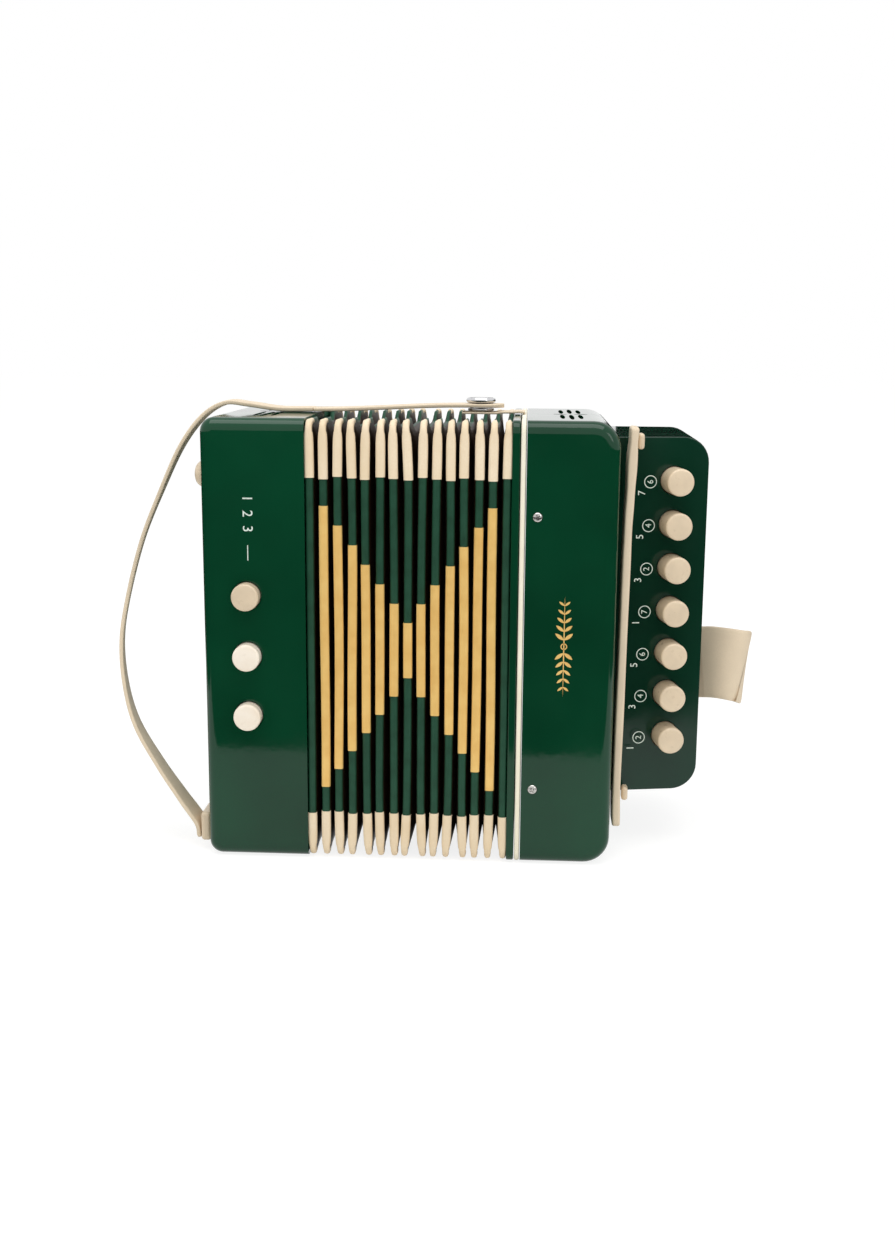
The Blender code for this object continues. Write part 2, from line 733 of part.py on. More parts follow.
def make_hand_strap():
    """From a pad low on the bass case's side, out round the hand and over the case's top."""
    top = CASE_HEIGHT + STRAP_THICKNESS / 2 + GAP
    low = HAND_STRAP_LOW
    span = CASE_HEIGHT - low
    pad_face = HAND_PAD + GAP + STRAP_THICKNESS / 2 + GAP
    route = [
        (pad_face, 1.0, low - 0.0055), (pad_face + 0.0012, 1.0, low),
        (0.0145, 0.9, low + 0.054 * span), (0.0241, 0.8, low + 0.128 * span),
        (0.0342, 0.7, low + 0.224 * span), (0.0394, 0.6, low + 0.320 * span),
        (HAND_STRAP_REACH - 0.0015, 0.5, low + 0.427 * span), (0.0392, 0.4, low + 0.534 * span),
        (0.0332, 0.3, low + 0.679 * span), (0.0252, 0.2, low + 0.804 * span),
        (0.0170, 0.1, low + 0.914 * span), (0.0082, 0.0, low + 0.987 * span),
        (-0.0015, 0.0, top + 0.0022),
        (-0.0115, 0.0, top + 0.0016), (-0.0240, 0.0, top),
        (-BASS_WIDTH + CLOSURE_LAP + 2 * GAP, 0.0, top),
    ]
    path = smooth_path([(BASS_LEFT - out, HAND_STRAP_FOOT_Y * share, z)
                        for out, share, z in route], 4)

    def lean(share):
        bow = math.sin(math.pi * min(share * 1.25, 1.0)) ** 1.5
        return (-math.sin(HAND_STRAP_LEAN * bow), 1.0, 0.0)

    ribbon("hand_strap", path, lean, STRAP_WIDTH, STRAP_THICKNESS, cream_leather())
    pad = bmesh.new()
    half = STRAP_WIDTH / 2 + 0.001
    box(pad, (BASS_LEFT - GAP - HAND_PAD, HAND_STRAP_FOOT_Y - half, low - 0.0070),
        (BASS_LEFT - GAP, HAND_STRAP_FOOT_Y + half, low + 0.0050))
    bmesh.ops.bevel(pad, geom=pad.edges[:], offset=0.0012, segments=2, profile=0.5,
                    affect="EDGES")
    add_object("hand_strap_anchor", pad, cream_plastic())
    turned(
        "bass_side_stud", [(0.0, 0.0052), (0.0016, 0.0048), (0.0030, 0.0030), (0.0034, 0.0012)],
        (BASS_LEFT - GAP, SIDE_STUD_Y, CASE_HEIGHT - SIDE_STUD_DROP), (-1, 0, 0),
        cream_plastic(), 16,
    )


def disc(name, centre, outward, height, radius, look):
    """A low domed disc that stands on a face, outward being +1 upwards and -1 downwards."""
    profile = [(0.0, radius), (height * 0.5, radius), (height * 0.85, radius * 0.86),
               (height, radius * 0.5)]
    turned(name, profile, centre, (0, 0, outward), look, 20)


def make_closure(side, outward, strap_z, start, lift):
    """A closure strap with its snap cap, and the tab and stud that hold it at the treble frame.
    strap_z is the strap's face towards the folds at its root, outward is +1 on top and -1
    underneath, and lift is how far the strap bows outwards on its way to the snap."""
    middle = strap_z + outward * CLOSURE_THICKNESS / 2
    end = SNAP_X + TONGUE
    flat_from = SNAP_X - SNAP_RADIUS - GAP
    path = []
    for i in range(19):
        x = start + (end - start) * i / 18
        share = min((x - start) / (flat_from - start), 1.0)
        bow = lift * outward * share * share * (3 - 2 * share)
        path.append(Vector((x, 0.0, middle + bow)))
    strap_z += lift * outward
    ribbon(f"{side}_closure_strap", path, straight_across, CLOSURE_WIDTH, CLOSURE_THICKNESS,
           cream_leather())
    outer_face = strap_z + outward * (CLOSURE_THICKNESS + GAP)
    height = SNAP_HEIGHT if outward > 0 else SNAP_HEIGHT * 0.5
    disc(f"{side}_snap_cap", (SNAP_X, 0.0, outer_face), outward, height, SNAP_RADIUS, chrome())
    stud_z = strap_z - outward * (GAP + STUD_HEIGHT)
    disc(f"{side}_snap_stud", (SNAP_X, 0.0, stud_z), outward, STUD_HEIGHT, SNAP_RADIUS * 0.9,
         chrome())
    tab_z = stud_z - outward * (GAP + TAB_THICKNESS / 2)
    left = SNAP_X - SNAP_RADIUS - 0.0015
    path = [(left, 0.0, tab_z), (SNAP_X, 0.0, tab_z), (SNAP_X + STUD_LAND, 0.0, tab_z)]
    if outward > 0:
        over = CASE_HEIGHT + GAP + TAB_THICKNESS / 2
        path += [(FRAME_LEFT - 0.0050, 0.0, tab_z + 0.0003), (FRAME_LEFT - 0.0012, 0.0, over),
                 (FRAME_LEFT + 0.0020, 0.0, over + 0.0002), (PIPING_LEFT + 0.0012, 0.0, over)]
    else:
        path += [(FRAME_LEFT - 0.0050, 0.0, tab_z), (FRAME_LEFT - GAP, 0.0, tab_z)]
    ribbon(f"{side}_snap_tab", smooth_path(path, 3), straight_across, CLOSURE_WIDTH * 0.9,
           TAB_THICKNESS, cream_leather())


def make_closures():
    make_closure("top", 1, CASE_HEIGHT + GAP, BASS_RIGHT - CLOSURE_LAP, CLOSURE_BOW)
    strap_z = LOWEST + SNAP_HEIGHT * 0.5 + GAP + CLOSURE_THICKNESS
    make_closure("bottom", -1, strap_z, BASS_RIGHT + GAP, 0.0)


def make_edge_strap():
    """The soft strap that stands in the step between the treble case and the keyboard panel."""
    side = TREBLE_RIGHT + GAP + EDGE_STRAP_THICKNESS / 2
    front = PANEL_Y - 2 * GAP - EDGE_STRAP_WIDTH / 2
    top, low = KEYBOARD_TOP + EDGE_STRAP_RISE, KEYBOARD_BOTTOM - EDGE_STRAP_DROP
    span = top - low
    bows = ((0.0, 0.0008), (0.10, 0.0006), (0.35, 0.0011), (0.62, 0.0016), (0.84, 0.0024),
            (0.95, 0.0030), (1.0, 0.0034))
    path = smooth_path([(side + bow, front, low + share * span) for share, bow in bows], 4)
    ribbon("keyboard_strap", path, straight_across, EDGE_STRAP_WIDTH, EDGE_STRAP_THICKNESS,
           cream_leather())
    edge = EDGE_STRAP_THICKNESS / 2 + GAP
    for name, z, bow, size in (("keyboard_strap_anchor_top", top - 0.0080, 0.0032, 0.0062),
                               ("keyboard_strap_anchor_bottom", KEYBOARD_BOTTOM + 0.0004,
                                0.0012, 0.0056)):
        left = side + bow + edge
        right = left + 0.0026
        lug = bmesh.new()
        box(lug, (left, PANEL_Y - 0.0052, z), (right, panel_face(0.0)(left) - GAP, z + size))
        bmesh.ops.bevel(lug, geom=lug.edges[:], offset=0.0008, segments=2, profile=0.5,
                        affect="EDGES")
        add_object(name, lug, cream_plastic())


def make_thumb_strap():
    """A wide loop for the thumb on the keyboard's outer side."""
    root = KEYBOARD_RIGHT + 2 * GAP
    points = [
        (root, -0.0040), (root + THUMB_REACH * 0.50, -0.0085), (root + THUMB_REACH * 0.84, -0.0070),
        (root + THUMB_REACH * 0.955, 0.0), (root + THUMB_REACH * 0.84, 0.0080),
        (root + THUMB_REACH * 0.45, THUMB_DEPTH * 0.62), (root, THUMB_DEPTH * 0.72),
    ]
    droop = []
    for x, y in points:
        share = max((x - root) / THUMB_REACH - THUMB_FLAT, 0.0)
        droop.append((x, y, THUMB_CENTRE - THUMB_DROP * share ** 3))
    path = smooth_path(droop, 4)

    def lean(share):
        spot = path[round(share * (len(path) - 1))]
        return (math.tan(THUMB_LEAN) * (spot.x - root) / THUMB_REACH, 0.0, 1.0)

    ribbon("thumb_strap", path, lean, THUMB_WIDTH, THUMB_THICKNESS, cream_leather())


def carry(name, spot, pieces):
    """Hangs the pieces of one moving body from an empty on its joint's axis."""
    empty = bpy.data.objects.new(name, None)
    empty.location = spot
    empty.empty_display_size = 0.01
    collection(PARTS).objects.link(empty)
    for piece in pieces:
        obj = bpy.data.objects[piece] if isinstance(piece, str) else piece
        obj.parent = empty
        obj.matrix_parent_inverse = Matrix.Translation(spot).inverted()
    return empty


def carry_bodies():
    keys = []
    for i, z in enumerate(bass_heights()):
        spot = Vector((BASS_LEFT + BASS_INSET, -HALF_DEPTH, z))
        keys.append(carry(f"bass_key_{i + 1}", spot, [f"bass_button_{i + 1}",
                                                      f"bass_pallet_{i + 1}"]))
    for i, z in enumerate(treble_heights()):
        carry(f"treble_key_{i + 1}", on_panel(TREBLE_INSET, z),
              [f"treble_button_{i + 1}", f"treble_pallet_{i + 1}"])
    top = Vector((BASS_RIGHT - CLOSURE_LAP, 0.0, CASE_HEIGHT + GAP + CLOSURE_THICKNESS))
    keys.append(carry("top_closure", top, ["top_closure_strap", "top_snap_cap"]))
    under = Vector((BASS_RIGHT + GAP, 0.0, LOWEST + SNAP_HEIGHT * 0.5 + GAP))
    keys.append(carry("bottom_closure", under, ["bottom_closure_strap", "bottom_snap_cap"]))
    carried = [
        "bass_case", "bass_bellows_frame", "bass_reed_board", "bass_reed_plate",
        "bass_valve_board", "hand_strap", "hand_strap_anchor", "bass_side_stud",
    ] + [f"bass_spring_{i + 1}" for i in range(BASS_COUNT)]
    carry("bass_body", Vector((BASS_RIGHT, 0.0, 0.0)), carried + keys)


def main():
    clear_scene()
    make_cases()
    make_bellows()
    make_frames()
    make_keyboard()
    make_valve_boards()
    reed_set("treble", TREBLE_LEFT + REED_SETBACK, 1, TREBLE_COUNT)
    reed_set("bass", bass_reed_left(), 1, 4)
    make_buttons()
    make_hand_strap()
    make_closures()
    make_edge_strap()
    make_thumb_strap()
    carry_bodies()


main()
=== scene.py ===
"""Looks of a children's button accordion that stands closed on its two cases.

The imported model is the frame. Each piece here is a surface worked out with numpy in metres, in the
frame's own axes: +X from the bass case to the keyboard, +Y to the back and +Z up.
"""

import json
import math

import bpy
import numpy as np
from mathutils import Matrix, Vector


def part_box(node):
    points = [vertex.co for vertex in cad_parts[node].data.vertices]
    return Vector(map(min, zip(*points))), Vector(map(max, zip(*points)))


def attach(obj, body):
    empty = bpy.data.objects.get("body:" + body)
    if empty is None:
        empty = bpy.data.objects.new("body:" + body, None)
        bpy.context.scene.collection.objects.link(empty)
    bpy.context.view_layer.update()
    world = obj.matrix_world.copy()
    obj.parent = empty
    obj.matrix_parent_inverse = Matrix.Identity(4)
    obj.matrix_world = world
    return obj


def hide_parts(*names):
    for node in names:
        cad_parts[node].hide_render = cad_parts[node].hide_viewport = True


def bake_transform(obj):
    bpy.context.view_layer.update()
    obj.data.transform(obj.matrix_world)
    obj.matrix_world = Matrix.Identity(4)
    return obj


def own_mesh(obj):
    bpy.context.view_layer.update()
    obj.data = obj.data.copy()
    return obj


bl_info = {
    "name": "Toy Button Accordion Looks",
    "version": (1, 0, 0),
    "blender": (4, 5, 0),
    "location": "3D View > Sidebar > Accordion",
    "description": "Builds the lacquered cases, pleated bellows, buttons, straps and snaps",
    "category": "Object",
}

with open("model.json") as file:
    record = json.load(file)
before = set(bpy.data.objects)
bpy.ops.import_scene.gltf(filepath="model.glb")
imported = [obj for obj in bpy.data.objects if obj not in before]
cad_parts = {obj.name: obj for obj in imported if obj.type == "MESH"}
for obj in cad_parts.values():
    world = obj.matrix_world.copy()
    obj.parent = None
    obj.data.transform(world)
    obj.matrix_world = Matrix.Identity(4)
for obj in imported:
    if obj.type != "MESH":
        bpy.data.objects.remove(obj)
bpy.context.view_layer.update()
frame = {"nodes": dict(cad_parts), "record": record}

# Places read from the frame's nodes
TREBLE_LOW, TREBLE_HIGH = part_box("treble_case")
BASS_LOW, BASS_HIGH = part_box("bass_case")
BELLOWS_LOW, BELLOWS_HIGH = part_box("bellows")
KEYS_LOW, KEYS_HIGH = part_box("keyboard_housing")
HALF_DEPTH, CASE_HEIGHT = BASS_HIGH.y, BASS_HIGH.z

# Sizes that the CAD solids share, in metres
CASE_WALL, CASE_EDGE = 0.0025, 0.0045
BASS_CORNER, TREBLE_CORNER = 0.0055, 0.0105
GAP = 0.0003
RIDGES, RIDGE_PITCH = 15, 0.00545
FIRST_RIDGE = BELLOWS_LOW.x + 0.0014
FOLD_DEPTH, FOLD_ROUND = 0.0105, 0.0040
BELLOWS_SKIN, BELLOWS_INSET = 0.0012, 0.0006
CORNER_LAND = 0.0235
TOP_RECESS, BOTTOM_RECESS = 0.0040, 0.0068
PANEL_LEAN = math.radians(10.4)
KEYBOARD_CORNER, KEYBOARD_EDGE, KEYBOARD_WALL = 0.0125, 0.0014, 0.0022
CAP_RADIUS, BORE_RADIUS, BORE_LENGTH = 0.0054, 0.0058, 0.012
TREBLE_INSET = 0.0233
TREBLE_HEIGHTS = [0.0471 + i * 0.01742 for i in range(7)]
BASS_X = BASS_LOW.x + 0.0177
BASS_HEIGHTS = [0.0589 + i * 0.02405 for i in range(3)]
TREBLE_RISE, BASS_RISE = 0.0080, 0.0048
TREBLE_TRAVEL, BASS_TRAVEL = 0.0035, 0.0030
SPRING_ROOM, BOARD, PALLET, STEM_END = 0.0160, 0.0030, 0.0024, 0.0008

# Sizes that only the looks have: how far shading's support points stand off an arc, how far a
# hollow's cutter runs past the open side, a print's thickness and its lift off the face
SUPPORT, OVERCUT = 0.0004, 0.002
PRINT, PRINT_LIFT = 0.00006, 0.00003

# The stage: places in metres, turns in degrees, and how the paper is lifted towards white
TARGET, OVERHEAD, SIDE = (0.0, 0.0, 0.1), (-0.05, -0.30, 1.25), (0.95, -0.95, 0.75)
SIDE_POWER = 1.85
CAMERA_PLACE, CAMERA_TURN = (-0.0171, -0.6000, 0.2083), (78.55, -0.45, 3.25)
PAPER_STRENGTH, PAPER_SHARE = 1.17, 0.72
TABLE_TOP = (-0.42, -0.20, 0.33, 0.30)

PANEL_NORMAL = np.array([math.sin(PANEL_LEAN), -math.cos(PANEL_LEAN), 0.0])
PANEL_ACROSS = np.array([math.cos(PANEL_LEAN), math.sin(PANEL_LEAN), 0.0])
PANEL_CORNER = np.array([KEYS_LOW.x, KEYS_LOW.y, 0.0])
BACKWARD = np.array([0.0, 1.0, 0.0])
UP = np.array([0.0, 0.0, 1.0])


def linear(colour):
    """An sRGB hex colour as linear red, green, blue and an alpha of 1. A linear one passes."""
    if not isinstance(colour, str):
        return (*colour[:3], 1.0)
    parts = [int(colour[i : i + 2], 16) / 255 for i in (1, 3, 5)]
    return (*[p / 12.92 if p <= 0.04045 else ((p + 0.055) / 1.055) ** 2.4 for p in parts], 1.0)


def add_node(tree, kind, inputs=None, **settings):
    """Adds a node: settings are its own properties, inputs maps a socket to a value or output."""
    made = tree.nodes.new(kind)
    for name, value in settings.items():
        setattr(made, name, value)
    for name, value in (inputs or {}).items():
        if isinstance(value, bpy.types.NodeSocket):
            tree.links.new(value, made.inputs[name])
        else:
            made.inputs[name].default_value = value
    return made


def empty_tree(owner):
    """The node tree of a material or world, with nothing in it."""
    owner.use_nodes = True
    owner.node_tree.nodes.clear()
    return owner.node_tree


def start_material(name, colour, roughness, **sockets):
    """A Principled material with its constants on the shader's own sockets, and its coordinates."""
    made = bpy.data.materials.new(name)
    tree = empty_tree(made)
    shader = add_node(tree, "ShaderNodeBsdfPrincipled", {
        "Base Color": linear(colour), "Roughness": roughness,
        **{socket.replace("_", " "): value for socket, value in sockets.items()}})
    add_node(tree, "ShaderNodeOutputMaterial", {"Surface": shader.outputs["BSDF"]})
    return made, tree, shader, add_node(tree, "ShaderNodeTexCoord").outputs["Object"]


def noise(tree, where, scale, detail, **more):
    """Soft noise, scale being patches per metre."""
    return add_node(tree, "ShaderNodeTexNoise", {"Vector": where, "Scale": scale, "Detail": detail,
                                                 **more}).outputs["Fac"]


def ramp(tree, value, low, first, high, second):
    """The first colour up to low, the second from high, and a mix of both in between."""
    made = add_node(tree, "ShaderNodeValToRGB", {"Fac": value})
    for element, place, colour in zip(made.color_ramp.elements, (low, high), (first, second)):
        element.position = place
        element.color = linear(colour)
    return made.outputs["Color"]


def mottle(tree, where, scale, light, dark, low=0.35, high=0.65):
    """Two colours mixed by soft noise."""
    return ramp(tree, noise(tree, where, scale, 3.0, Roughness=0.55), low, dark, high, light)


def paint(tree, shader, colour):
    tree.links.new(colour, shader.inputs["Base Color"])


def vary_roughness(tree, shader, where, scale, low, high):
    """Roughness that drifts between two values with soft noise."""
    spread = add_node(tree, "ShaderNodeMapRange", {
        "Value": noise(tree, where, scale, 4.0), "From Min": 0.3, "From Max": 0.7,
        "To Min": low, "To Max": high})
    tree.links.new(spread.outputs["Result"], shader.inputs["Roughness"])


def relief(tree, shader, height, depth, strength=1.0, **under):
    """Bump from a height output, depth in metres, over another bump if its Normal is given."""
    bump = add_node(tree, "ShaderNodeBump", {"Height": height, "Distance": depth,
                                             "Strength": strength, **under})
    tree.links.new(bump.outputs["Normal"], shader.inputs["Normal"])
    return bump.outputs["Normal"]


def lacquered_abs(name, colour, deep, roughness=0.06):
    """Moulded ABS under clear lacquer: deep colour, sharp reflections, faint orange peel."""
    made, tree, shader, where = start_material(name, colour, roughness, IOR=1.46,
                                               Specular_IOR_Level=0.36)
    paint(tree, shader, mottle(tree, where, 14.0, colour, deep))
    vary_roughness(tree, shader, where, 60.0, roughness * 0.8, roughness * 1.8)
    # Orange peel of lacquer: waves about 3 mm long and a few micrometres high.
    relief(tree, shader, noise(tree, where, 330.0, 1.0), 0.000012)
    return made


def moulded_plastic(name, colour, shade, roughness=0.3):
    """Solid-colour ABS from a polished mould: even, softly shiny, with faint flow marks."""
    made, tree, shader, where = start_material(name, colour, roughness, IOR=1.5)
    paint(tree, shader, mottle(tree, where, 120.0, colour, shade))
    vary_roughness(tree, shader, where, 400.0, roughness * 0.85, roughness * 1.2)
    relief(tree, shader, noise(tree, where, 1500.0, 2.0), 0.00001, 0.6)
    return made


def coated_leather(name, colour, shade, roughness=0.48):
    """Coated split leather: pebbled grain under a soft satin coat, with shade painted darker into
    the creases.
    """
    made, tree, shader, where = start_material(name, colour, roughness, IOR=1.48,
                                               Specular_IOR_Level=0.12)
    # Pebbles are 0.7 mm across, a little coarser than real so that they show.
    pebbles = add_node(tree, "ShaderNodeTexVoronoi", {
        "Vector": where, "Scale": 1400.0, "Randomness": 1.0}).outputs["Distance"]
    # Painted shade: between the pebbles, up to 35% of the darker colour is mixed in.
    crease_shade = ramp(tree, pebbles, 0.25, (0.0, 0.0, 0.0), 0.85, (0.35, 0.35, 0.35))
    blend = add_node(tree, "ShaderNodeMix", {
        "Factor": crease_shade, "A": mottle(tree, where, 45.0, colour, shade, 0.3, 0.7),
        "B": linear(shade)}, data_type="RGBA", blend_type="MIX")
    paint(tree, shader, blend.outputs["Result"])
    flip = add_node(tree, "ShaderNodeMath", {0: 1.0, 1: pebbles}, operation="SUBTRACT")
    first = relief(tree, shader, flip.outputs["Value"], 0.00001, 0.4)
    relief(tree, shader, noise(tree, where, 110.0, 3.0), 0.00015, 0.4, Normal=first)
    return made


def metal(name, colour, roughness, scratch):
    """Plated or bare metal: mirror-like, its roughness broken up by fine wear."""
    made, tree, shader, where = start_material(name, colour, roughness, Metallic=1.0)
    vary_roughness(tree, shader, where, scratch, roughness * 0.7, roughness * 1.6)
    return made


def bellows_cloth(name):
    """Bookcloth glued over card: green on the ridges, darkened to black-brown down in the folds by
    painted shade. The mesh's own attribute fold_depth, 0 on a ridge and 1 in a valley, says which,
    and so how deep the painted shade is."""
    made, tree, shader, where = start_material(name, "#1D4A36", 0.46, IOR=1.5,
                                               Specular_IOR_Level=0.25)
    depth = add_node(tree, "ShaderNodeAttribute", attribute_name="fold_depth").outputs["Fac"]
    # Painted shade: the cloth's colour runs from green on a ridge to dark brown as the fold deepens.
    blend = add_node(tree, "ShaderNodeMix", {
        "Factor": 0.6, "A": ramp(tree, depth, 0.05, "#1C4A35", 0.22, "#2E1D10"),
        "B": mottle(tree, where, 160.0, "#FFFFFF", "#B9C4BD", 0.3, 0.6)},
        data_type="RGBA", blend_type="MULTIPLY")
    paint(tree, shader, blend.outputs["Result"])
    # Cloth threads 0.35 mm apart on the ridges, drawn by crossed waves.
    threads = [add_node(tree, "ShaderNodeTexWave", {"Vector": where, "Scale": 450.0,
                                                    "Distortion": 1.5, "Detail": 1.0},
                        bands_direction=direction).outputs["Fac"] for direction in ("X", "Z")]
    weave = add_node(tree, "ShaderNodeMath", dict(enumerate(threads)), operation="MULTIPLY")
    first = relief(tree, shader, weave.outputs["Value"], 0.00004, 0.5)
    relief(tree, shader, noise(tree, where, 90.0, 4.0), 0.0005, 0.45, Normal=first)
    return made


def foil(name):
    """Hot-pressed gold foil on bookcloth: warm, partly metallic, a little dull from the cloth."""
    made, tree, shader, where = start_material(name, "#F0C775", 0.42, Metallic=0.25)
    paint(tree, shader, mottle(tree, where, 120.0, "#F4CB7A", "#E8B764", 0.2, 0.7))
    vary_roughness(tree, shader, where, 500.0, 0.35, 0.55)
    relief(tree, shader, noise(tree, where, 700.0, 2.0), 0.00002, 0.6)
    return made


def screen_ink(name, colour):
    """Screen-printed ink: thin, matt and almost even."""
    made, tree, shader, where = start_material(name, colour, 0.6)
    paint(tree, shader, mottle(tree, where, 900.0, colour, "#A9C2B5", 0.2, 0.5))
    return made


def birch(name):
    """Rotary-cut birch plywood: pale, with fine streaks along the board's height."""
    made, tree, shader, where = start_material(name, "#CDAE82", 0.6)
    stretch = add_node(tree, "ShaderNodeMapping", {"Vector": where, "Scale": (600.0, 600.0, 25.0)})
    grain = noise(tree, stretch.outputs["Vector"], 1.0, 4.0)
    paint(tree, shader, ramp(tree, grain, 0.0, "#B08D5E", 1.0, "#DCC198"))
    relief(tree, shader, grain, 0.00003, 0.5)
    return made


def wool_felt(name):
    """Pressed wool felt: matt, fuzzy red fibres with a soft sheen."""
    made, tree, shader, where = start_material(name, "#7A2A26", 0.95, Sheen_Weight=0.4)
    paint(tree, shader, mottle(tree, where, 900.0, "#8C342F", "#5E1F1C"))
    relief(tree, shader, noise(tree, where, 3500.0, 3.0), 0.0001, 0.8)
    return made


LOOKS = {}


def look(key):
    """A finish by its short name, made once. Four of the colours are the user's."""
    user = bpy.context.scene.accordion_finish

    def shades(colour, share):
        """A colour and a darker one of the same hue."""
        return colour, tuple(share * part for part in colour)

    makers = {
        "green": lambda: lacquered_abs("lacquered_abs_green", *shades(user.lacquer, 0.7)),
        "dark": lambda: lacquered_abs("lacquered_abs_dark_green", *shades(user.panel_lacquer, 0.7),
                                      0.09),
        "cream": lambda: moulded_plastic("moulded_abs_cream", *shades(user.buttons, 0.9)),
        "white": lambda: moulded_plastic("moulded_abs_ivory", "#FBF0E0", "#F3E4D0"),
        "leather": lambda: coated_leather("coated_leather_cream", *shades(user.leather, 0.86)),
        "piping": lambda: coated_leather("coated_leather_ivory_piping", "#FBF6E4", "#EFE7D0"),
        "corner": lambda: coated_leather("coated_leather_corner_cream", "#F4E3C8", "#E8D2B0", 0.42),
        "steel": lambda: metal("zinc_plated_steel", "#BDBBB7", 0.17, 600.0),
        "chrome": lambda: metal("chrome_plate_on_steel", "#D2D2D4", 0.09, 300.0),
        "spring": lambda: metal("spring_steel_wire", "#A9A7A3", 0.28, 900.0),
        "brass": lambda: metal("rolled_reed_brass", "#C29A52", 0.3, 500.0),
        "cloth": lambda: bellows_cloth("bookcloth_on_card"),
        "gold": lambda: foil("hot_pressed_gold_foil"),
        "ink": lambda: screen_ink("screen_ink_pale", "#DDEAE0"),
        "birch": lambda: birch("birch_plywood"),
        "felt": lambda: wool_felt("pressed_wool_felt_red"),
    }
    if key not in LOOKS:
        LOOKS[key] = makers[key]()
    return LOOKS[key]


def make_piece(name, points, faces, finish, angle=40.0):
    """A mesh object from points and faces, smooth but for edges sharper than the angle."""
    mesh = bpy.data.meshes.new(name)
    mesh.from_pydata(np.asarray(points, float).tolist(), [], [list(map(int, f)) for f in faces])
    mesh.validate()
    mesh.update()
    mesh.shade_smooth()
    mesh.set_sharp_from_angle(angle=math.radians(angle))
    if finish:
        mesh.materials.append(look(finish))
    obj = bpy.data.objects.new(name, mesh)
    bpy.context.scene.collection.objects.link(obj)
    return obj


def grid_faces(rows, columns, wrap_rows=False, wrap_columns=False, start=0):
    """Quads of a grid of points stored row by row, joined round where it wraps."""
    r = np.arange(rows if wrap_rows else rows - 1)
    c = np.arange(columns if wrap_columns else columns - 1)
    r, c = np.meshgrid(r, c, indexing="ij")
    r2, c2 = (r + 1) % rows, (c + 1) % columns
    corners = [r * columns + c, r * columns + c2, r2 * columns + c2, r2 * columns + c]
    return (np.stack(corners, -1).reshape(-1, 4) + start).tolist()


def capped(count, size):
    """Faces of a stack of rings, closed at both ends."""
    ends = [list(range(size)), list(range((count - 1) * size, count * size))[::-1]]
    return grid_faces(count, size, False, True) + ends


def outward(points, faces):
    """The faces, turned over if the closed mesh they make has a negative volume."""
    volume = 0.0
    for face in faces:
        a = points[face[0]]
        for i in range(1, len(face) - 1):
            volume += a @ np.cross(points[face[i]], points[face[i + 1]])
    return faces if volume > 0 else [list(reversed(f)) for f in faces]


def lofted(name, rings, finish, angle=40.0, closed=False):
    """A skin over rings of equal count. An open one is capped at both ends, a closed one wraps."""
    rings = np.asarray(rings, float)
    count, size = rings.shape[:2]
    faces = grid_faces(count, size, True, True) if closed else capped(count, size)
    points = rings.reshape(-1, 3)
    return make_piece(name, points, outward(points, faces), finish, angle)


def joined(name, parts, finish, angle=40.0):
    """One object from several (points, faces) pairs."""
    points, faces, total = [], [], 0
    for some, shape in parts:
        points.append(some)
        faces += [[int(v) + total for v in f] for f in outward(some, shape)]
        total += len(some)
    return make_piece(name, np.concatenate(points), faces, finish, angle)


def turned(profile, centre, axis, sides=48):
    """Points and faces of a turned solid: (height, radius) pairs swept round an axis."""
    profile = np.asarray(profile, float)
    axis = np.asarray(axis, float) / np.linalg.norm(axis)
    side = np.cross(axis, [0.31, 0.52, 0.79])
    side /= np.linalg.norm(side)
    angles = np.linspace(0, math.tau, sides, endpoint=False)[:, None]
    ring = np.cos(angles) * side + np.sin(angles) * np.cross(axis, side)
    points = (np.asarray(centre, float) + profile[:, 0, None, None] * axis
              + profile[:, 1, None, None] * ring).reshape(-1, 3)
    return points, capped(len(profile), sides)


def quarter(radius, steps):
    """A quarter circle from a face to a side, as pairs of how far it is drawn in and how deep."""
    return [(radius * (1 - math.sin(a)), radius * (1 - math.cos(a)))
            for a in np.linspace(0, math.pi / 2, steps)]


def eased(share):
    """The share held between 0 and 1 and smoothed at both ends: 3 squares less 2 cubes."""
    share = np.clip(share, 0, 1)
    return share * share * (3 - 2 * share)


def corner_outline(left, right, low, high, radii):
    """A flat outline of four corners, each an arc of its radius or square, with a point just before
    and just after each arc so that shading turns only there. Corners run from upper right, round
    by upper left."""
    points = []
    corners = ((right, high, 0), (left, high, 90), (left, low, 180), (right, low, 270))
    for (x, z, start), radius in zip(corners, radii):
        a0 = math.radians(start)
        inward = np.array([-math.cos(a0 + math.pi / 4), -math.sin(a0 + math.pi / 4)])
        r = max(radius, 0.00002)
        angles = np.linspace(a0, a0 + math.pi / 2, 10)
        arc = (np.array([x, z]) + np.sign(inward) * r
               + r * np.stack([np.cos(angles), np.sin(angles)], 1))
        before = arc[0] + SUPPORT * np.array([math.sin(a0), -math.cos(a0)])
        after = arc[-1] + SUPPORT * np.array([-math.cos(a0), -math.sin(a0)])
        points += [before, *arc, after]
    return np.array(points)


def rounded_block(left, right, low, high, corner, open_side, front, back, edge):
    """Rings of a block between y = front(x) and y = back(x). Its two corners away from the open
    side are arcs, and its rims quarter circles, over which the outline shrinks by the same inset
    all round but for the open side."""
    def ring(inset, face, depth):
        l = left if open_side == "left" else left + inset
        r = right if open_side == "right" else right - inset
        c = max(corner - inset, 0.0)
        outline = corner_outline(l, r, low + inset, high - inset,
                                 [c, 0, 0, c] if open_side == "left" else [0, c, c, 0])
        return np.stack([outline[:, 0], face(outline[:, 0]) + depth, outline[:, 1]], 1)

    rims = quarter(edge, 9)
    return [ring(edge + SUPPORT, front, 0.0),
            *[ring(inset, front, depth) for inset, depth in rims],
            ring(0.0, front, edge + SUPPORT), ring(0.0, back, -edge - SUPPORT),
            *[ring(inset, back, -depth) for inset, depth in rims[::-1]],
            ring(edge + SUPPORT, back, 0.0)]


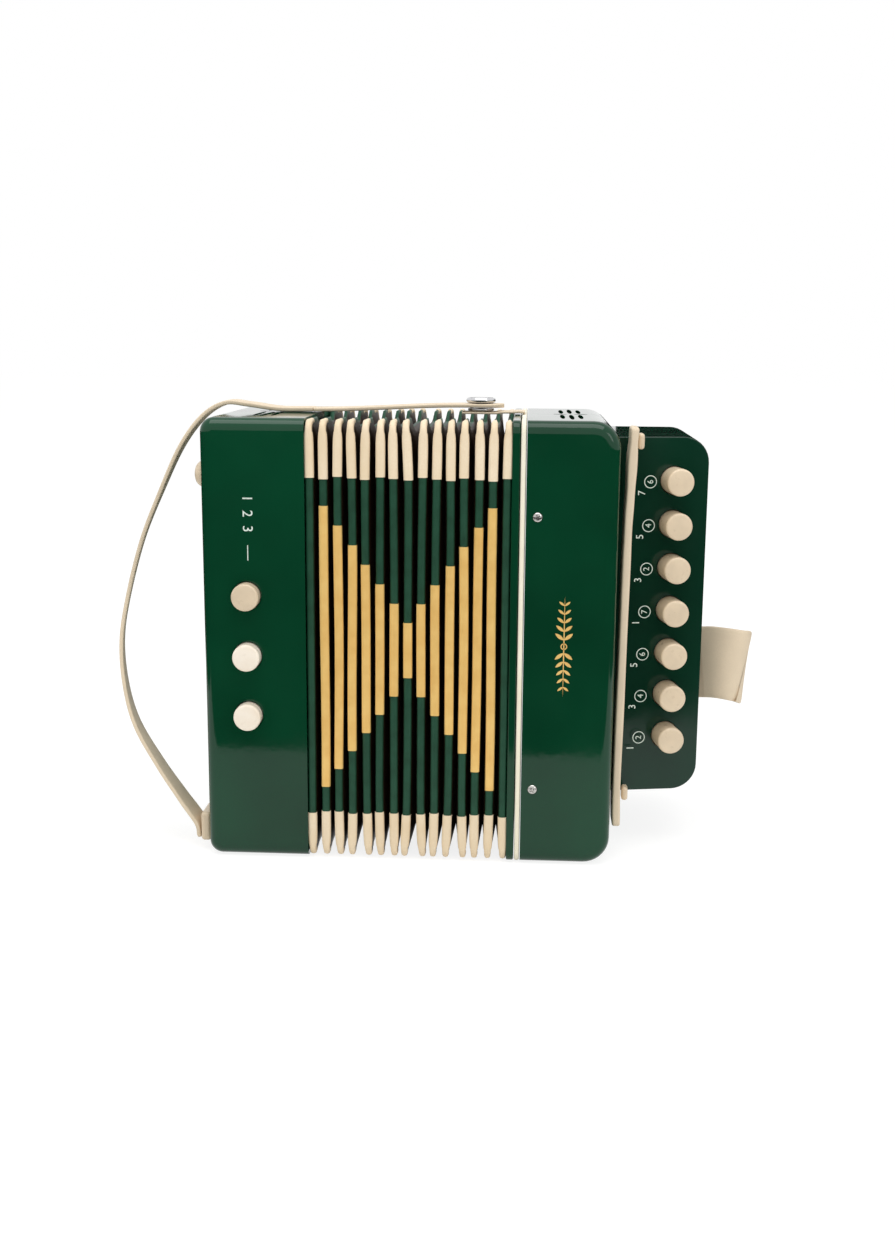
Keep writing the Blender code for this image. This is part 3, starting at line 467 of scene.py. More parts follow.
def cut(obj, cutters):
    """Subtracts the cutters, applies the result to the mesh and removes them."""
    for cutter in cutters:
        step = obj.modifiers.new("Cut", "BOOLEAN")
        step.operation = "DIFFERENCE"
        step.solver = "EXACT"
        step.object = cutter
    graph = bpy.context.evaluated_depsgraph_get()
    done = bpy.data.meshes.new_from_object(obj.evaluated_get(graph))
    obj.modifiers.clear()
    obj.data = done
    obj.data.shade_smooth()
    obj.data.set_sharp_from_angle(angle=math.radians(32))
    for cutter in cutters:
        bpy.data.objects.remove(cutter, do_unlink=True)
    flatten = obj.modifiers.new("Flat faces stay flat", "WEIGHTED_NORMAL")
    flatten.keep_sharp = True
    flatten.weight = 90
    return obj


def cylinder(centre, axis, length, radius, sides=48, stretch=(1.0, 1.0, 1.0)):
    """A plain cutter centred on a point."""
    points, faces = turned([(-length / 2, radius), (length / 2, radius)], (0, 0, 0), axis, sides)
    points = points * np.asarray(stretch) + np.asarray(centre, float)
    return make_piece("cutter", points, outward(points, faces), None)


def flat(y):
    return lambda x: np.full_like(x, y)


def panel(offset):
    """y of the leaning panel's plane at x, offset inwards along its normal."""
    return lambda x: (KEYS_LOW.y + (x - KEYS_LOW.x) * math.tan(PANEL_LEAN)
                      + offset / math.cos(PANEL_LEAN))


def on_panel(across, height):
    """A point of the panel's face from its distance across and its height."""
    return PANEL_CORNER + PANEL_ACROSS * across + UP * height


def smooth_path(points, steps):
    """A Catmull-Rom curve through the points, with steps per span."""
    p = np.asarray(points, float)
    p = np.vstack([2 * p[0] - p[1], p, 2 * p[-1] - p[-2]])
    t = np.linspace(0, 1, steps, endpoint=False)[:, None]
    spans = [0.5 * (2 * b + (c - a) * t + (2 * a - 5 * b + 4 * c - d) * t**2
                    + (3 * b - 3 * c + d - a) * t**3)
             for a, b, c, d in zip(p[:-3], p[1:-2], p[2:-1], p[3:])]
    return np.vstack([*spans, p[-2]])


def strap_rings(path, across, width, thickness, sides=32):
    """Rings of a flat strap carried along a path: each is a superellipse of the strap's width and
    thickness, across giving its width's direction at each point."""
    along = np.gradient(path, axis=0)
    along /= np.linalg.norm(along, axis=1)[:, None]
    wide = np.broadcast_to(np.asarray(across, float), path.shape).copy()
    wide -= along * (wide * along).sum(1)[:, None]
    wide /= np.linalg.norm(wide, axis=1)[:, None]
    thick = np.cross(along, wide)
    angles = np.linspace(0, math.tau, sides, endpoint=False) + math.pi / sides
    c, s = np.cos(angles), np.sin(angles)
    w = (width / 2 * np.sign(c) * np.abs(c) ** 0.22)[None, :, None]
    t = np.broadcast_to(thickness, len(path))[:, None] / 2 * np.sign(s) * np.abs(s) ** 0.38
    return path[:, None, :] + w * wide[:, None, :] + t[:, :, None] * thick[:, None, :]


def rounded_ends(rings, reach=0.0016):
    """Draws the first and last rings in over a short reach, so that a strap's ends are rounded."""
    for index, inner in ((0, 1), (-1, -2)):
        middle = rings[index].mean(0)
        out = middle - rings[inner].mean(0)
        out /= np.linalg.norm(out)
        extra = [middle + (rings[index] - middle) * math.cos(a) ** 0.5 + out * reach * math.sin(a)
                 for a in np.linspace(0, math.pi / 2 * 0.97, 5)[1:]]
        rings = np.concatenate([rings, extra]) if index else np.concatenate([extra[::-1], rings])
    return rings


def use(obj, body, slot, *nodes):
    """Rides a piece on its body and hides the CAD nodes that it stands for. The slot is not used."""
    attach(obj, body)
    if nodes:
        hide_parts(*nodes)
    return obj


def sound_hole_cutters(centre_x):
    """Cutters for the flower of slots in a case's top: six long petals and two short ones."""
    petals = []
    for column in (-1, 0, 1):
        half = 0.0330 * (0.86 if column else 1.0) / 2
        petals += [(column * 0.0036, side * (0.0040 + half), 0.0010, half) for side in (-1, 1)]
    petals += [(side * 0.0042, 0.0, 0.0028, 0.0016) for side in (-1, 1)]
    return [cylinder((centre_x + x, y, CASE_HEIGHT), UP, 4 * CASE_WALL, 1.0, 24, (wide, long, 1.0))
            for x, y, wide, long in petals]


def case_piece(name, low, high, corner, open_side, cutters):
    """A lacquered case: a rounded block, hollowed from its open side, then drilled."""
    wall = CASE_WALL
    shell = lofted(name, rounded_block(low, high, 0.0, CASE_HEIGHT, corner, open_side,
                                       flat(-HALF_DEPTH), flat(HALF_DEPTH), CASE_EDGE), "green")
    inner = (low - OVERCUT, high - wall) if open_side == "left" else (low + wall, high + OVERCUT)
    rings = rounded_block(*inner, wall, CASE_HEIGHT - wall, corner - wall, open_side,
                          flat(-HALF_DEPTH + wall), flat(HALF_DEPTH - wall), CASE_EDGE - wall)
    return cut(shell, [lofted(name + "_hollow", rings, None), *cutters])


def fold_section(inset, recess_top, recess_bottom, samples):
    """The bellows' cross-section drawn in by an inset, as samples of (y, z) round the loop. Its
    corners are rounded, and its top and bottom dip between the corner caps."""
    side, y, z = samples["side"], samples["y"], samples["z"]
    half = HALF_DEPTH - BELLOWS_INSET - inset
    low, high = BELLOWS_INSET + inset, CASE_HEIGHT - BELLOWS_INSET - inset
    turn = FOLD_ROUND * (side == 1)
    yy = y * (half - FOLD_ROUND * (side > 0)) + turn * np.cos(samples["angle"])
    zz = ((low + high) / 2 + z * ((high - low) / 2 - FOLD_ROUND * (side < 2))
          + turn * np.sin(samples["angle"]))
    dip = eased((half - (CORNER_LAND - inset) - np.abs(yy)) / 0.003) * (side == 2)
    return yy, zz - dip * np.where(z > 0, recess_top, -recess_bottom)


def fold_samples(front=26, top=22, corner=7):
    """Where the bellows' section is sampled: side 0 is a front or back run, 1 a corner and 2 a top
    or bottom run, with y and z from -1 to 1 along it and an angle on the corners."""
    rows = []
    tall = np.sin(np.linspace(-math.pi / 2, math.pi / 2, front + 2))[1:-1]
    wide = np.linspace(-1, 1, top + 2)[1:-1]
    for sy, sz, start, run in ((1, 1, 0, [(2, v, 1, 0) for v in wide[::-1]]),
                               (-1, 1, 90, [(0, -1, v, 0) for v in tall[::-1]]),
                               (-1, -1, 180, [(2, v, -1, 0) for v in wide]),
                               (1, -1, 270, [(0, 1, v, 0) for v in tall])):
        rows += [(1, sy, sz, a)
                 for a in np.linspace(math.radians(start), math.radians(start + 90), corner)]
        rows += run
    return dict(zip(("side", "y", "z", "angle"), np.array(rows, float).T))


SAMPLES = fold_samples()
RIDGE_Y, RIDGE_Z = fold_section(0.0, 0.0, 0.0, SAMPLES)


def ridge_width(y, z):
    """Half width of a ridge: a flat band in front and behind that shoulders down to a narrow edge
    at the corners and along the top and bottom."""
    tip, shoulder, narrow, wide, edge = 0.0015, 0.0075, 0.00100, 0.00147, 0.00060
    share = eased((np.minimum(CASE_HEIGHT - z, z) - tip) / shoulder)
    return np.where(np.abs(y) > HALF_DEPTH - 0.006, narrow + (wide - narrow) * share, edge)


def ridge_sway(index, z):
    """Sideways sway of one fold along its height: slow bends, and a lean at its tips."""
    rng = np.random.default_rng(40 + index)
    phase, lean, foot = rng.uniform(0, math.tau, 2), rng.normal(0, 0.00050), rng.normal(0, 0.00045)
    height = z / CASE_HEIGHT
    sway = 0.00022 * np.sin(phase[0] + 5.2 * height) + 0.00012 * np.sin(phase[1] + 11.0 * height)
    sway += np.clip((height - 0.86) / 0.14, 0, 1) ** 1.5 * lean
    sway += np.clip((0.14 - height) / 0.14, 0, 1) ** 1.5 * foot
    return sway * (0.35 + 0.65 * min(index, RIDGES - 1 - index, 2) / 2)


def ridge_centre(index):
    return FIRST_RIDGE + index * RIDGE_PITCH


def mirrored(half):
    """(place, depth) pairs across a fold, from those of one half listed from its rim inwards."""
    return [(-place, depth) for place, depth in half] + [(0.0, 0.0), *half[::-1]]


def bellows_piece():
    """The pleated tube. Along x each fold runs valley, side, rounded shoulder, flat band and back.
    Round the loop the section is fold_section, and an inner skin follows 1.2 mm inside."""
    steps = mirrored([(1.0, 1.0), (0.80, 0.62), (0.60, 0.27), (0.5, 0.09), (0.40, 0.026),
                      (0.20, 0.005)])[:-1]
    rings, depths = [], []
    half = ridge_width(RIDGE_Y, RIDGE_Z)
    for index in range(RIDGES):
        for place, depth in steps:
            if (index == 0 and place < -0.5) or (index == RIDGES - 1 and place > 0.5):
                continue
            shown = max(1.0 - depth * 2.5, 0.0)
            y, z = fold_section(depth * FOLD_DEPTH, TOP_RECESS * shown, BOTTOM_RECESS * shown,
                                SAMPLES)
            beyond = max(abs(place) - 0.5, 0.0) / 0.5
            x = (np.clip(place, -0.5, 0.5) * 2 * half
                 + np.sign(place) * (RIDGE_PITCH / 2 - half) * beyond)
            x = ridge_centre(index) + x + ridge_sway(index, RIDGE_Z) * (1 - depth)
            rings.append(np.stack([np.clip(x, BELLOWS_LOW.x, BELLOWS_HIGH.x), y, z], 1))
            depths.append(depth)
    rings.append(rings[-1].copy())
    depths.append(depths[-1])
    outer = np.array(rings)
    outer[0, :, 0], outer[-1, :, 0] = BELLOWS_LOW.x, BELLOWS_HIGH.x
    inner = outer.copy()
    for axis, middle in ((1, 0.0), (2, CASE_HEIGHT / 2)):
        inner[:, :, axis] -= np.sign(outer[:, :, axis] - middle) * BELLOWS_SKIN
    piece = lofted("bellows_folds", np.concatenate([outer, inner[::-1]]), "cloth", 60.0,
                   closed=True)
    values = np.repeat(depths + depths[::-1], outer.shape[1]).astype(np.float32)
    mark = piece.data.attributes.new("fold_depth", "FLOAT", "POINT")
    mark.data.foreach_set("value", values)
    return piece


def cover(skin, proud, close, across):
    """Points and faces of a thin cover over a ridge: an outer skin that stands proud of it, an
    inner one that lies close, and both ends closed."""
    loop = np.array(skin(proud, across) + skin(close, across[::-1]))
    rows, columns = loop.shape[:2]
    ends = [[r * columns for r in range(rows)], [(r + 1) * columns - 1 for r in range(rows)][::-1]]
    return loop.reshape(-1, 3), grid_faces(rows, columns, True, False) + ends


def ridge_wrap(index, keep, line):
    """Points and faces of a corner cap over one ridge, along the kept samples of the section. It
    laps down both sides, and ends on the line, a height from the foot or, if below 0, from the
    top."""
    picked = np.flatnonzero(keep)
    breaks = np.flatnonzero(np.diff(picked) > 1)
    if len(breaks):
        picked = np.roll(picked, -(breaks[0] + 1))
    half = ridge_width(RIDGE_Y, RIDGE_Z)[picked]
    sway = ridge_sway(index, RIDGE_Z[picked])
    part = {key: value[picked] for key, value in SAMPLES.items()}
    lap = 0.0017

    def skin(grow, across):
        rows = []
        for place, depth in across:
            y, z = fold_section(depth - grow, TOP_RECESS, BOTTOM_RECESS, part)
            z = np.where(part["side"] == 0, RIDGE_Z[picked], z)
            z = np.minimum(z, line) if line > 0 else np.maximum(z, CASE_HEIGHT + line)
            widen = 1 + depth / FOLD_DEPTH * 0.7
            rows.append(np.stack([ridge_centre(index) + sway + place * (half * widen + grow), y, z],
                                 1))
        return rows

    return cover(skin, 0.00020, 0.00002, mirrored([
        (1.02, lap), (1.0, lap / 2), (0.96, 0.0007), (0.80, 0.00024), (0.40, 0.00005)]))


def corner_caps_piece():
    """Four cream corner caps on each fold: from the cap line on the front or back, over the corner
    and a short way in along the top or bottom."""
    sizes = bpy.context.scene.accordion_bellows
    parts = []
    for index in range(RIDGES):
        for sy in (-1, 1):
            for sz in (-1, 1):
                line = (sizes.cap_above + 0.0006 * math.sin(index * 2.1 + sy + sz) if sz > 0
                        else sizes.cap_below + 0.0005 * math.sin(index * 1.7 + sy))
                height = RIDGE_Z if sz < 0 else CASE_HEIGHT - RIDGE_Z
                keep = (np.sign(RIDGE_Y) == sy) & (height <= height[height > line].min() + 1e-6)
                keep &= np.abs(RIDGE_Y) > HALF_DEPTH - 0.0130
                parts.append(ridge_wrap(index, keep, -line * sz))
    return joined("bellows_corner_caps", parts, "corner", 50.0)


def stripes_piece():
    """Gold stripes on the front of the folds. Each is longer the further its fold is from the
    middle one, so together they draw an hourglass."""
    sizes = bpy.context.scene.accordion_bellows
    face = -(HALF_DEPTH - BELLOWS_INSET)
    parts = []
    for index in range(1, RIDGES - 1):
        reach = sizes.stripe_middle + sizes.stripe_step * abs(index - RIDGES // 2)
        z = sizes.stripe_height + np.linspace(-reach, reach, 30)
        half, sway = ridge_width(face, z), ridge_sway(index, z)

        def skin(grow, across):
            return [np.stack([ridge_centre(index) + sway + place * (half + 0.00012 + grow),
                              np.full_like(z, face + depth - grow), z], 1)
                    for place, depth in across]

        parts.append(cover(skin, 0.00016, 0.00002, mirrored([
            (1.03, 0.0013), (0.97, 0.0006), (0.80, 0.00024), (0.40, 0.00005)])))
    return joined("bellows_gold_stripes", parts, "gold", 50.0)


def ring_piece(name, node, depth, soft, finish):
    """A ring round the cases' cross-section: its profile runs in from the bore, over two rounded
    rims and back, and is swept round the outline."""
    low, high = (corner.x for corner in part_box(node))
    rims = quarter(soft, 6)
    profile = [(low, depth), *[(low + deep, inset) for inset, deep in rims],
               *[(high - deep, inset) for inset, deep in rims[::-1]],
               (high, depth), ((low + high) / 2, depth)]
    rings = []
    for x, inset in profile:
        outline = corner_outline(-HALF_DEPTH + inset, HALF_DEPTH - inset, inset,
                                 CASE_HEIGHT - inset, [max(CASE_EDGE - inset, 0.0006)] * 4)
        rings.append(np.stack([np.full(len(outline), x), outline[:, 0], outline[:, 1]], 1))
    return lofted(name, rings, finish, 50.0, closed=True)


def button_parts(face, inward, rise, stem):
    """Points and faces of a button: a low-domed cap with a rolled rim, its skirt and its stem."""
    rim, dome, skirt = 0.0009, 0.00022, rise + BOARD
    inner = CAP_RADIUS - rim
    profile = [(-dome * (1 - s * s), inner * s) for s in (0.02, 0.35, 0.7, 0.97)]
    profile += [(rim - rim * math.cos(a), inner + rim * math.sin(a))
                for a in np.linspace(0, math.pi / 2, 6)]
    profile += [(0.0014, CAP_RADIUS), (skirt, CAP_RADIUS - 0.00005), (skirt + 0.0001, 0.0016),
                (stem, 0.0016), (stem + 0.0001, 0.0012)]
    return turned(profile, face - inward * rise, inward, 64)


def pallet_parts(face, inward, rise):
    """Points and faces of a felt pallet: a soft-edged ring round the stem, behind the board."""
    near = rise + SPRING_ROOM + BOARD + GAP
    far = near + PALLET
    bore, outer, soft, sides = 0.0019, 0.0050, 0.0005, 32
    profile = [(near, bore), (near, outer - soft), (near + soft, outer), (far - soft, outer),
               (far, outer - soft), (far, bore)]
    points, _ = turned(profile, face - inward * rise, inward, sides)
    return points, grid_faces(len(profile), sides, True, True)


def snap_profile(height, radius):
    """Height and radius pairs of a pressed snap cap: a rolled rim, a groove and a low dome."""
    rim = height * 0.46
    pairs = [(height, radius * 0.03)]
    pairs += [(height * (0.80 + 0.20 * math.cos(s * math.pi / 2)), radius * 0.62 * s)
              for s in (0.3, 0.6, 0.85, 1.0)]
    pairs += [(height * 0.62, radius * 0.66), (height * 0.60, radius * 0.72)]
    return pairs + [(rim + rim * math.sin(a), radius - rim * 0.8 + rim * 0.8 * math.cos(a))
                    for a in np.linspace(math.pi / 2, -math.pi / 2, 10)]


def screw_head(centre, radius):
    """Points and faces of a pan head with a cross recess, seen along -Y: height falls off as a dome
    from the middle, and drops where either arm of the cross lies."""
    rings, sides = 14, 56
    rr, aa = np.meshgrid(np.linspace(0.02, 1.0, rings),
                         np.linspace(0, math.tau, sides, endpoint=False), indexing="ij")
    dome = 0.0009 * np.sqrt(np.clip(1.02 - rr**2, 0, 1))
    arm = np.minimum(np.abs(rr * np.cos(aa)), np.abs(rr * np.sin(aa)))
    recess = np.clip((0.17 - arm) / 0.05, 0, 1) * np.clip((0.62 - rr) / 0.08, 0, 1)
    top = np.stack([centre[0] + radius * rr * np.cos(aa + 0.5), centre[1] - dome + 0.0005 * recess,
                    centre[2] + radius * rr * np.sin(aa + 0.5)], -1)
    base = top[-1:].copy()
    base[..., 1] = centre[1] + 0.0007
    return np.concatenate([top, base]).reshape(-1, 3), capped(rings + 1, sides)


def text_parts(body, size, place):
    """Points and faces of a number in the built-in typeface, put down by place(x, y, h)."""
    curve = bpy.data.curves.new("print", "FONT")
    curve.body, curve.size, curve.extrude = body, size, PRINT / 2
    curve.align_x = curve.align_y = "CENTER"
    curve.resolution_u = 3
    obj = bpy.data.objects.new("print", curve)
    bpy.context.scene.collection.objects.link(obj)
    bpy.context.view_layer.update()
    mesh = bpy.data.meshes.new_from_object(
        obj.evaluated_get(bpy.context.evaluated_depsgraph_get()))
    x, y, h = np.array([v.co for v in mesh.vertices], float).T
    faces = [list(p.vertices) for p in mesh.polygons]
    bpy.data.objects.remove(obj, do_unlink=True)
    bpy.data.meshes.remove(mesh)
    return place(x, y, h + PRINT / 2), faces


def annulus_parts(radius, width, place, sides=48):
    """Points and faces of a flat printed ring."""
    a = np.linspace(0, math.tau, sides, endpoint=False)
    low, high = radius - width / 2, radius + width / 2
    rings = [np.stack([r * np.cos(a), r * np.sin(a), np.full(sides, h)], 1)
             for r, h in ((low, 0.0), (high, 0.0), (high, PRINT), (low, PRINT))]
    return place(*np.concatenate(rings).T), grid_faces(4, sides, True, True)


def plate_parts(outline, place):
    """Points and faces of a flat print from its outline's (x, y) points."""
    size = len(outline)
    points = np.concatenate([np.column_stack([outline, np.full(size, h)]) for h in (0.0, PRINT)])
    under, over = list(range(size))[::-1], list(range(size, 2 * size))
    return place(*points.T), [under, over, *grid_faces(2, size, False, True)]


def bar_parts(length, width, place):
    """Points and faces of a flat printed bar along the text's reading direction."""
    x, y = length / 2, width / 2
    return plate_parts(np.array([(-x, -y), (x, -y), (x, y), (-x, y)]), place)


def leaf_parts(centre, length, width, turn, place):
    """Points and faces of a printed leaf: two arcs that meet at points, turned about its centre."""
    t = np.linspace(0, 1, 16)
    half = width / 2 * np.sin(math.pi * t) ** 0.8
    along = (t - 0.5) * length
    outline = np.concatenate([np.stack([along, half], 1), np.stack([along, -half], 1)[-2:0:-1]])
    c, s = math.cos(turn), math.sin(turn)
    return plate_parts(np.array(centre) + outline @ np.array([[c, s], [-s, c]]), place)


def soft_box(name, low, high, radius, finish):
    """A block whose edges and corners are all rounded: a cube of points pushed in so that each lies
    a radius from an inner box."""
    cells = 12
    a, b = np.meshgrid(*[np.linspace(-1, 1, cells)] * 2, indexing="ij")
    faces, sheets = [], []
    for axis in range(3):
        for sign in (-1, 1):
            sheet = np.empty((cells, cells, 3))
            sheet[..., axis] = sign
            sheet[..., (axis + 1) % 3] = a
            sheet[..., (axis + 2) % 3] = b
            some = grid_faces(cells, cells, start=len(sheets) * cells * cells)
            faces += some if sign > 0 else [f[::-1] for f in some]
            sheets.append(sheet.reshape(-1, 3))
    cube = np.concatenate(sheets)
    low, high = np.array(low), np.array(high)
    half = (high - low) / 2
    spread = np.sign(cube) * np.abs(cube) ** 0.5 * half
    inner = np.clip(spread, radius - half, half - radius)
    length = np.linalg.norm(spread - inner, axis=1)[:, None]
    length[length == 0] = 1
    shaped = (low + high) / 2 + inner + (spread - inner) / length * radius
    piece = make_piece(name, shaped, faces, finish, 60.0)
    weld = piece.modifiers.new("Close the seams", "WELD")
    weld.merge_threshold = 0.00001
    return piece


def spring_piece(name, body, inward):
    """A copy of a spring node with its shared points merged, riding on its body."""
    mesh = frame["nodes"][name].data
    points = np.empty(len(mesh.vertices) * 3)
    mesh.vertices.foreach_get("co", points)
    corners = np.empty(len(mesh.loops), int)
    mesh.loops.foreach_get("vertex_index", corners)
    points, merged = np.unique(points.reshape(-1, 3).round(7), axis=0, return_inverse=True)
    faces = merged.reshape(-1)[corners].reshape(-1, 3)
    piece = make_piece(name + "_wire", points, faces, "spring")
    depth = points @ inward
    use(piece, body, "chrome", name)
    tuple(points[depth.argmax()])
    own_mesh(piece)


def colour_setting(name, description, default):
    return bpy.props.FloatVectorProperty(name=name, description=description, subtype="COLOR",
                                         default=linear(default)[:3], min=0, max=1)


def length_setting(name, description, default):
    return bpy.props.FloatProperty(name=name, description=description, default=default,
                                   unit="LENGTH")


class AccordionFinish(bpy.types.PropertyGroup):
    """Colours of the finishes."""

    lacquer: colour_setting("Case lacquer", "Colour of the two cases", "#0A4129")
    panel_lacquer: colour_setting("Keyboard lacquer", "Colour of the keyboard housing", "#0E3425")
    leather: colour_setting("Strap leather", "Colour of the straps", "#E9D7BC")
    buttons: colour_setting("Buttons", "Colour of the cream buttons", "#E3CFB2")


class AccordionBellows(bpy.types.PropertyGroup):
    """Sizes of the bellows' trim."""

    stripe_middle: length_setting("Middle stripe", "Half the length of the shortest gold stripe",
                                  0.011)
    stripe_step: length_setting("Stripe step", "How much further each next stripe reaches, at each "
                                "end", 0.00757)
    stripe_height: length_setting("Stripe height", "Height of the stripes' middle above the foot",
                                  0.0862)
    cap_above: length_setting("Upper corner caps", "How far the upper corner caps reach down",
                              0.0226)
    cap_below: length_setting("Lower corner caps", "How far the lower corner caps reach up", 0.0191)


class AccordionStraps(bpy.types.PropertyGroup):
    """Sizes of the straps."""

    hand_width: length_setting("Hand strap width", "Width of the hand strap", 0.013)
    hand_thickness: length_setting("Hand strap thickness", "Thickness of the hand strap", 0.0018)
    closure_width: length_setting("Closure width", "Width of the two closure straps", 0.0125)
    thumb_width: length_setting("Thumb loop width", "Width of the thumb loop", 0.03)


class AccordionStage(bpy.types.PropertyGroup):
    """Light and camera."""

    lens: bpy.props.FloatProperty(
        name="Lens", description="Focal length for a 36 mm long side", default=41.61,
        subtype="DISTANCE_CAMERA")
    room_level: bpy.props.FloatProperty(
        name="Room light", description="Level of the even light of the room", default=0.63)
    lamp_power: bpy.props.FloatProperty(
        name="Softbox power", description="Power of the softbox overhead", default=10.4,
        unit="POWER")
    floor_colour: colour_setting("Floor", "Colour of the floor", "#F4F4F2")


def seen_directly(tree):
    """1 for rays from the camera and those that a mirror or a clear piece passes on, else 0."""
    rays = add_node(tree, "ShaderNodeLightPath").outputs
    first = add_node(tree, "ShaderNodeMath", {0: rays["Is Camera Ray"], 1: rays["Is Glossy Ray"]},
                     operation="MAXIMUM")
    return add_node(tree, "ShaderNodeMath", {0: first.outputs["Value"],
                                             1: rays["Is Transmission Ray"]},
                    operation="MAXIMUM").outputs["Value"]


def mix_shaders(tree, share, first, second, output):
    """Sends the first shader, with this share of the second one mixed in, to an output node."""
    mix = add_node(tree, "ShaderNodeMixShader", {0: share, 1: first.outputs[0],
                                                 2: second.outputs[0]})
    add_node(tree, output, {"Surface": mix.outputs["Shader"]})


class ACCORDION_OT_stage(bpy.types.Operator):
    """Makes the floor, the room's light, the softboxes and the camera"""

    bl_idname = "accordion.stage"
    bl_label = "Stage"

    def execute(self, context):
        stage, scene = context.scene.accordion_stage, context.scene
        scene.view_settings.view_transform = "Standard"
        self.floor(stage.floor_colour)
        self.dark_surround()
        self.room(scene, stage.room_level)
        self.softbox("softbox_overhead", OVERHEAD, (1.3, 0.9), stage.lamp_power)
        self.softbox("softbox_side", SIDE, (0.35, 0.6), SIDE_POWER)
        camera = bpy.data.objects.new("camera", bpy.data.cameras.new("camera"))
        scene.collection.objects.link(camera)
        camera.location = CAMERA_PLACE
        camera.rotation_euler = [math.radians(turn) for turn in CAMERA_TURN]
        camera.data.sensor_width = 36.0
        camera.data.lens = stage.lens
        camera.data.clip_start, camera.data.clip_end = 0.05, 50.0
        scene.camera = camera
        return {"FINISHED"}

    def floor(self, colour):
        """Matt white paper: it keeps the shadow, and is lifted towards white for the camera."""
        under, far = -0.0004, 6
        floor = make_piece("floor", [(-far, -far, under), (far, -far, under), (far, far, under),
                                     (-far, far, under)], [[0, 1, 2, 3]], None)
        made = bpy.data.materials.new("matt_white_paper")
        tree = empty_tree(made)
        paper = add_node(tree, "ShaderNodeBsdfDiffuse", {"Color": (*colour, 1.0)})
        white = add_node(tree, "ShaderNodeEmission", {"Strength": PAPER_STRENGTH})
        share = add_node(tree, "ShaderNodeMath", {0: seen_directly(tree), 1: PAPER_SHARE},
                         operation="MULTIPLY")
        mix_shaders(tree, share.outputs["Value"], paper, white, "ShaderNodeOutputMaterial")
        floor.data.materials.append(made)

    def dark_surround(self):
        """Black cloth round the table top and a black card behind the keyboard, out of the camera's
        sight: only gloss sees them, so that the lacquer mirrors a bright table near its foot and a
        dark room above that, and the keyboard keeps a dark rim."""
        points = []
        for x0, y0, x1, y1 in (TABLE_TOP, (-6.0, -6.0, 6.0, 6.0)):
            points += [(x, y, 0.0006) for x, y in ((x0, y0), (x1, y0), (x1, y1), (x0, y1))]
        points += [(x, 0.16, z)
                   for x, z in ((0.0275, 0.01), (0.42, 0.01), (0.42, 0.22), (0.0275, 0.22))]
        faces = [[k, 4 + k, 4 + (k + 1) % 4, (k + 1) % 4] for k in range(4)] + [[8, 9, 10, 11]]
        cloth = make_piece("dark_surround", points, faces, None)
        made, *_ = start_material("black_cloth", "#101311", 1.0, Specular_IOR_Level=0.0)
        cloth.data.materials.append(made)
        for ray in ("camera", "diffuse", "shadow", "transmission"):
            setattr(cloth, "visible_" + ray, False)

    def room(self, scene, level):
        """An even room that shows as white behind the object and in its reflections."""
        scene.world = bpy.data.worlds.new("white_room")
        tree = empty_tree(scene.world)
        light, white = (add_node(tree, "ShaderNodeBackground", {
            "Color": (1.0, 1.0, 1.0, 1.0), "Strength": strength}) for strength in (level, 1.0))
        mix_shaders(tree, seen_directly(tree), light, white, "ShaderNodeOutputWorld")

    def softbox(self, name, place, size, power):
        """A rectangular lamp that faces the object's middle."""
        lamp = bpy.data.lights.new(name, "AREA")
        lamp.shape = "RECTANGLE"
        lamp.size, lamp.size_y = size
        lamp.energy = power
        obj = bpy.data.objects.new(name, lamp)
        bpy.context.scene.collection.objects.link(obj)
        obj.location = place
        obj.rotation_euler = (Vector(TARGET) - Vector(place)).to_track_quat("-Z", "Y").to_euler()


class ACCORDION_OT_cases(bpy.types.Operator):
    """Builds the bass case and the treble case with their bores and sound holes"""

    bl_idname = "accordion.cases"
    bl_label = "Cases"

    def execute(self, context):
        bores = [cylinder((BASS_X, -HALF_DEPTH, z), BACKWARD, BORE_LENGTH, BORE_RADIUS)
                 for z in BASS_HEIGHTS]
        for side, low, high, corner, open_side, share, more in (
                ("bass", BASS_LOW.x, BASS_HIGH.x, BASS_CORNER, "right", 0.54, bores),
                ("treble", TREBLE_LOW.x, TREBLE_HIGH.x, TREBLE_CORNER, "left", 0.486, [])):
            cutters = sound_hole_cutters(low + (high - low) * share) + more
            use(case_piece(f"{side}_case_shell", low, high, corner, open_side, cutters),
                f"{side}_body", "green_lacquer", f"{side}_case")
        return {"FINISHED"}


class ACCORDION_OT_keyboard(bpy.types.Operator):
    """Builds the keyboard housing with its leaning, drilled panel"""

    bl_idname = "accordion.keyboard"
    bl_label = "Keyboard housing"

    def execute(self, context):
        corner, wall, back = KEYBOARD_CORNER, KEYBOARD_WALL, KEYS_HIGH.y
        rings = rounded_block(KEYS_LOW.x, KEYS_HIGH.x, KEYS_LOW.z, KEYS_HIGH.z, corner, "left",
                              panel(0.0), flat(back), KEYBOARD_EDGE)
        shell = lofted("keyboard_shell", rings, "dark")
        rings = rounded_block(KEYS_LOW.x - OVERCUT, KEYS_HIGH.x - wall, KEYS_LOW.z + wall,
                              KEYS_HIGH.z - wall, corner - wall, "left", panel(wall),
                              flat(back - wall), 0.0004)
        hollow = lofted("keyboard_hollow", rings, None)
        bores = [cylinder(on_panel(TREBLE_INSET, z), PANEL_NORMAL, BORE_LENGTH, BORE_RADIUS)
                 for z in TREBLE_HEIGHTS]
        use(cut(shell, [hollow, *bores]), "treble_body", "dark_green_lacquer", "keyboard_housing")
        return {"FINISHED"}


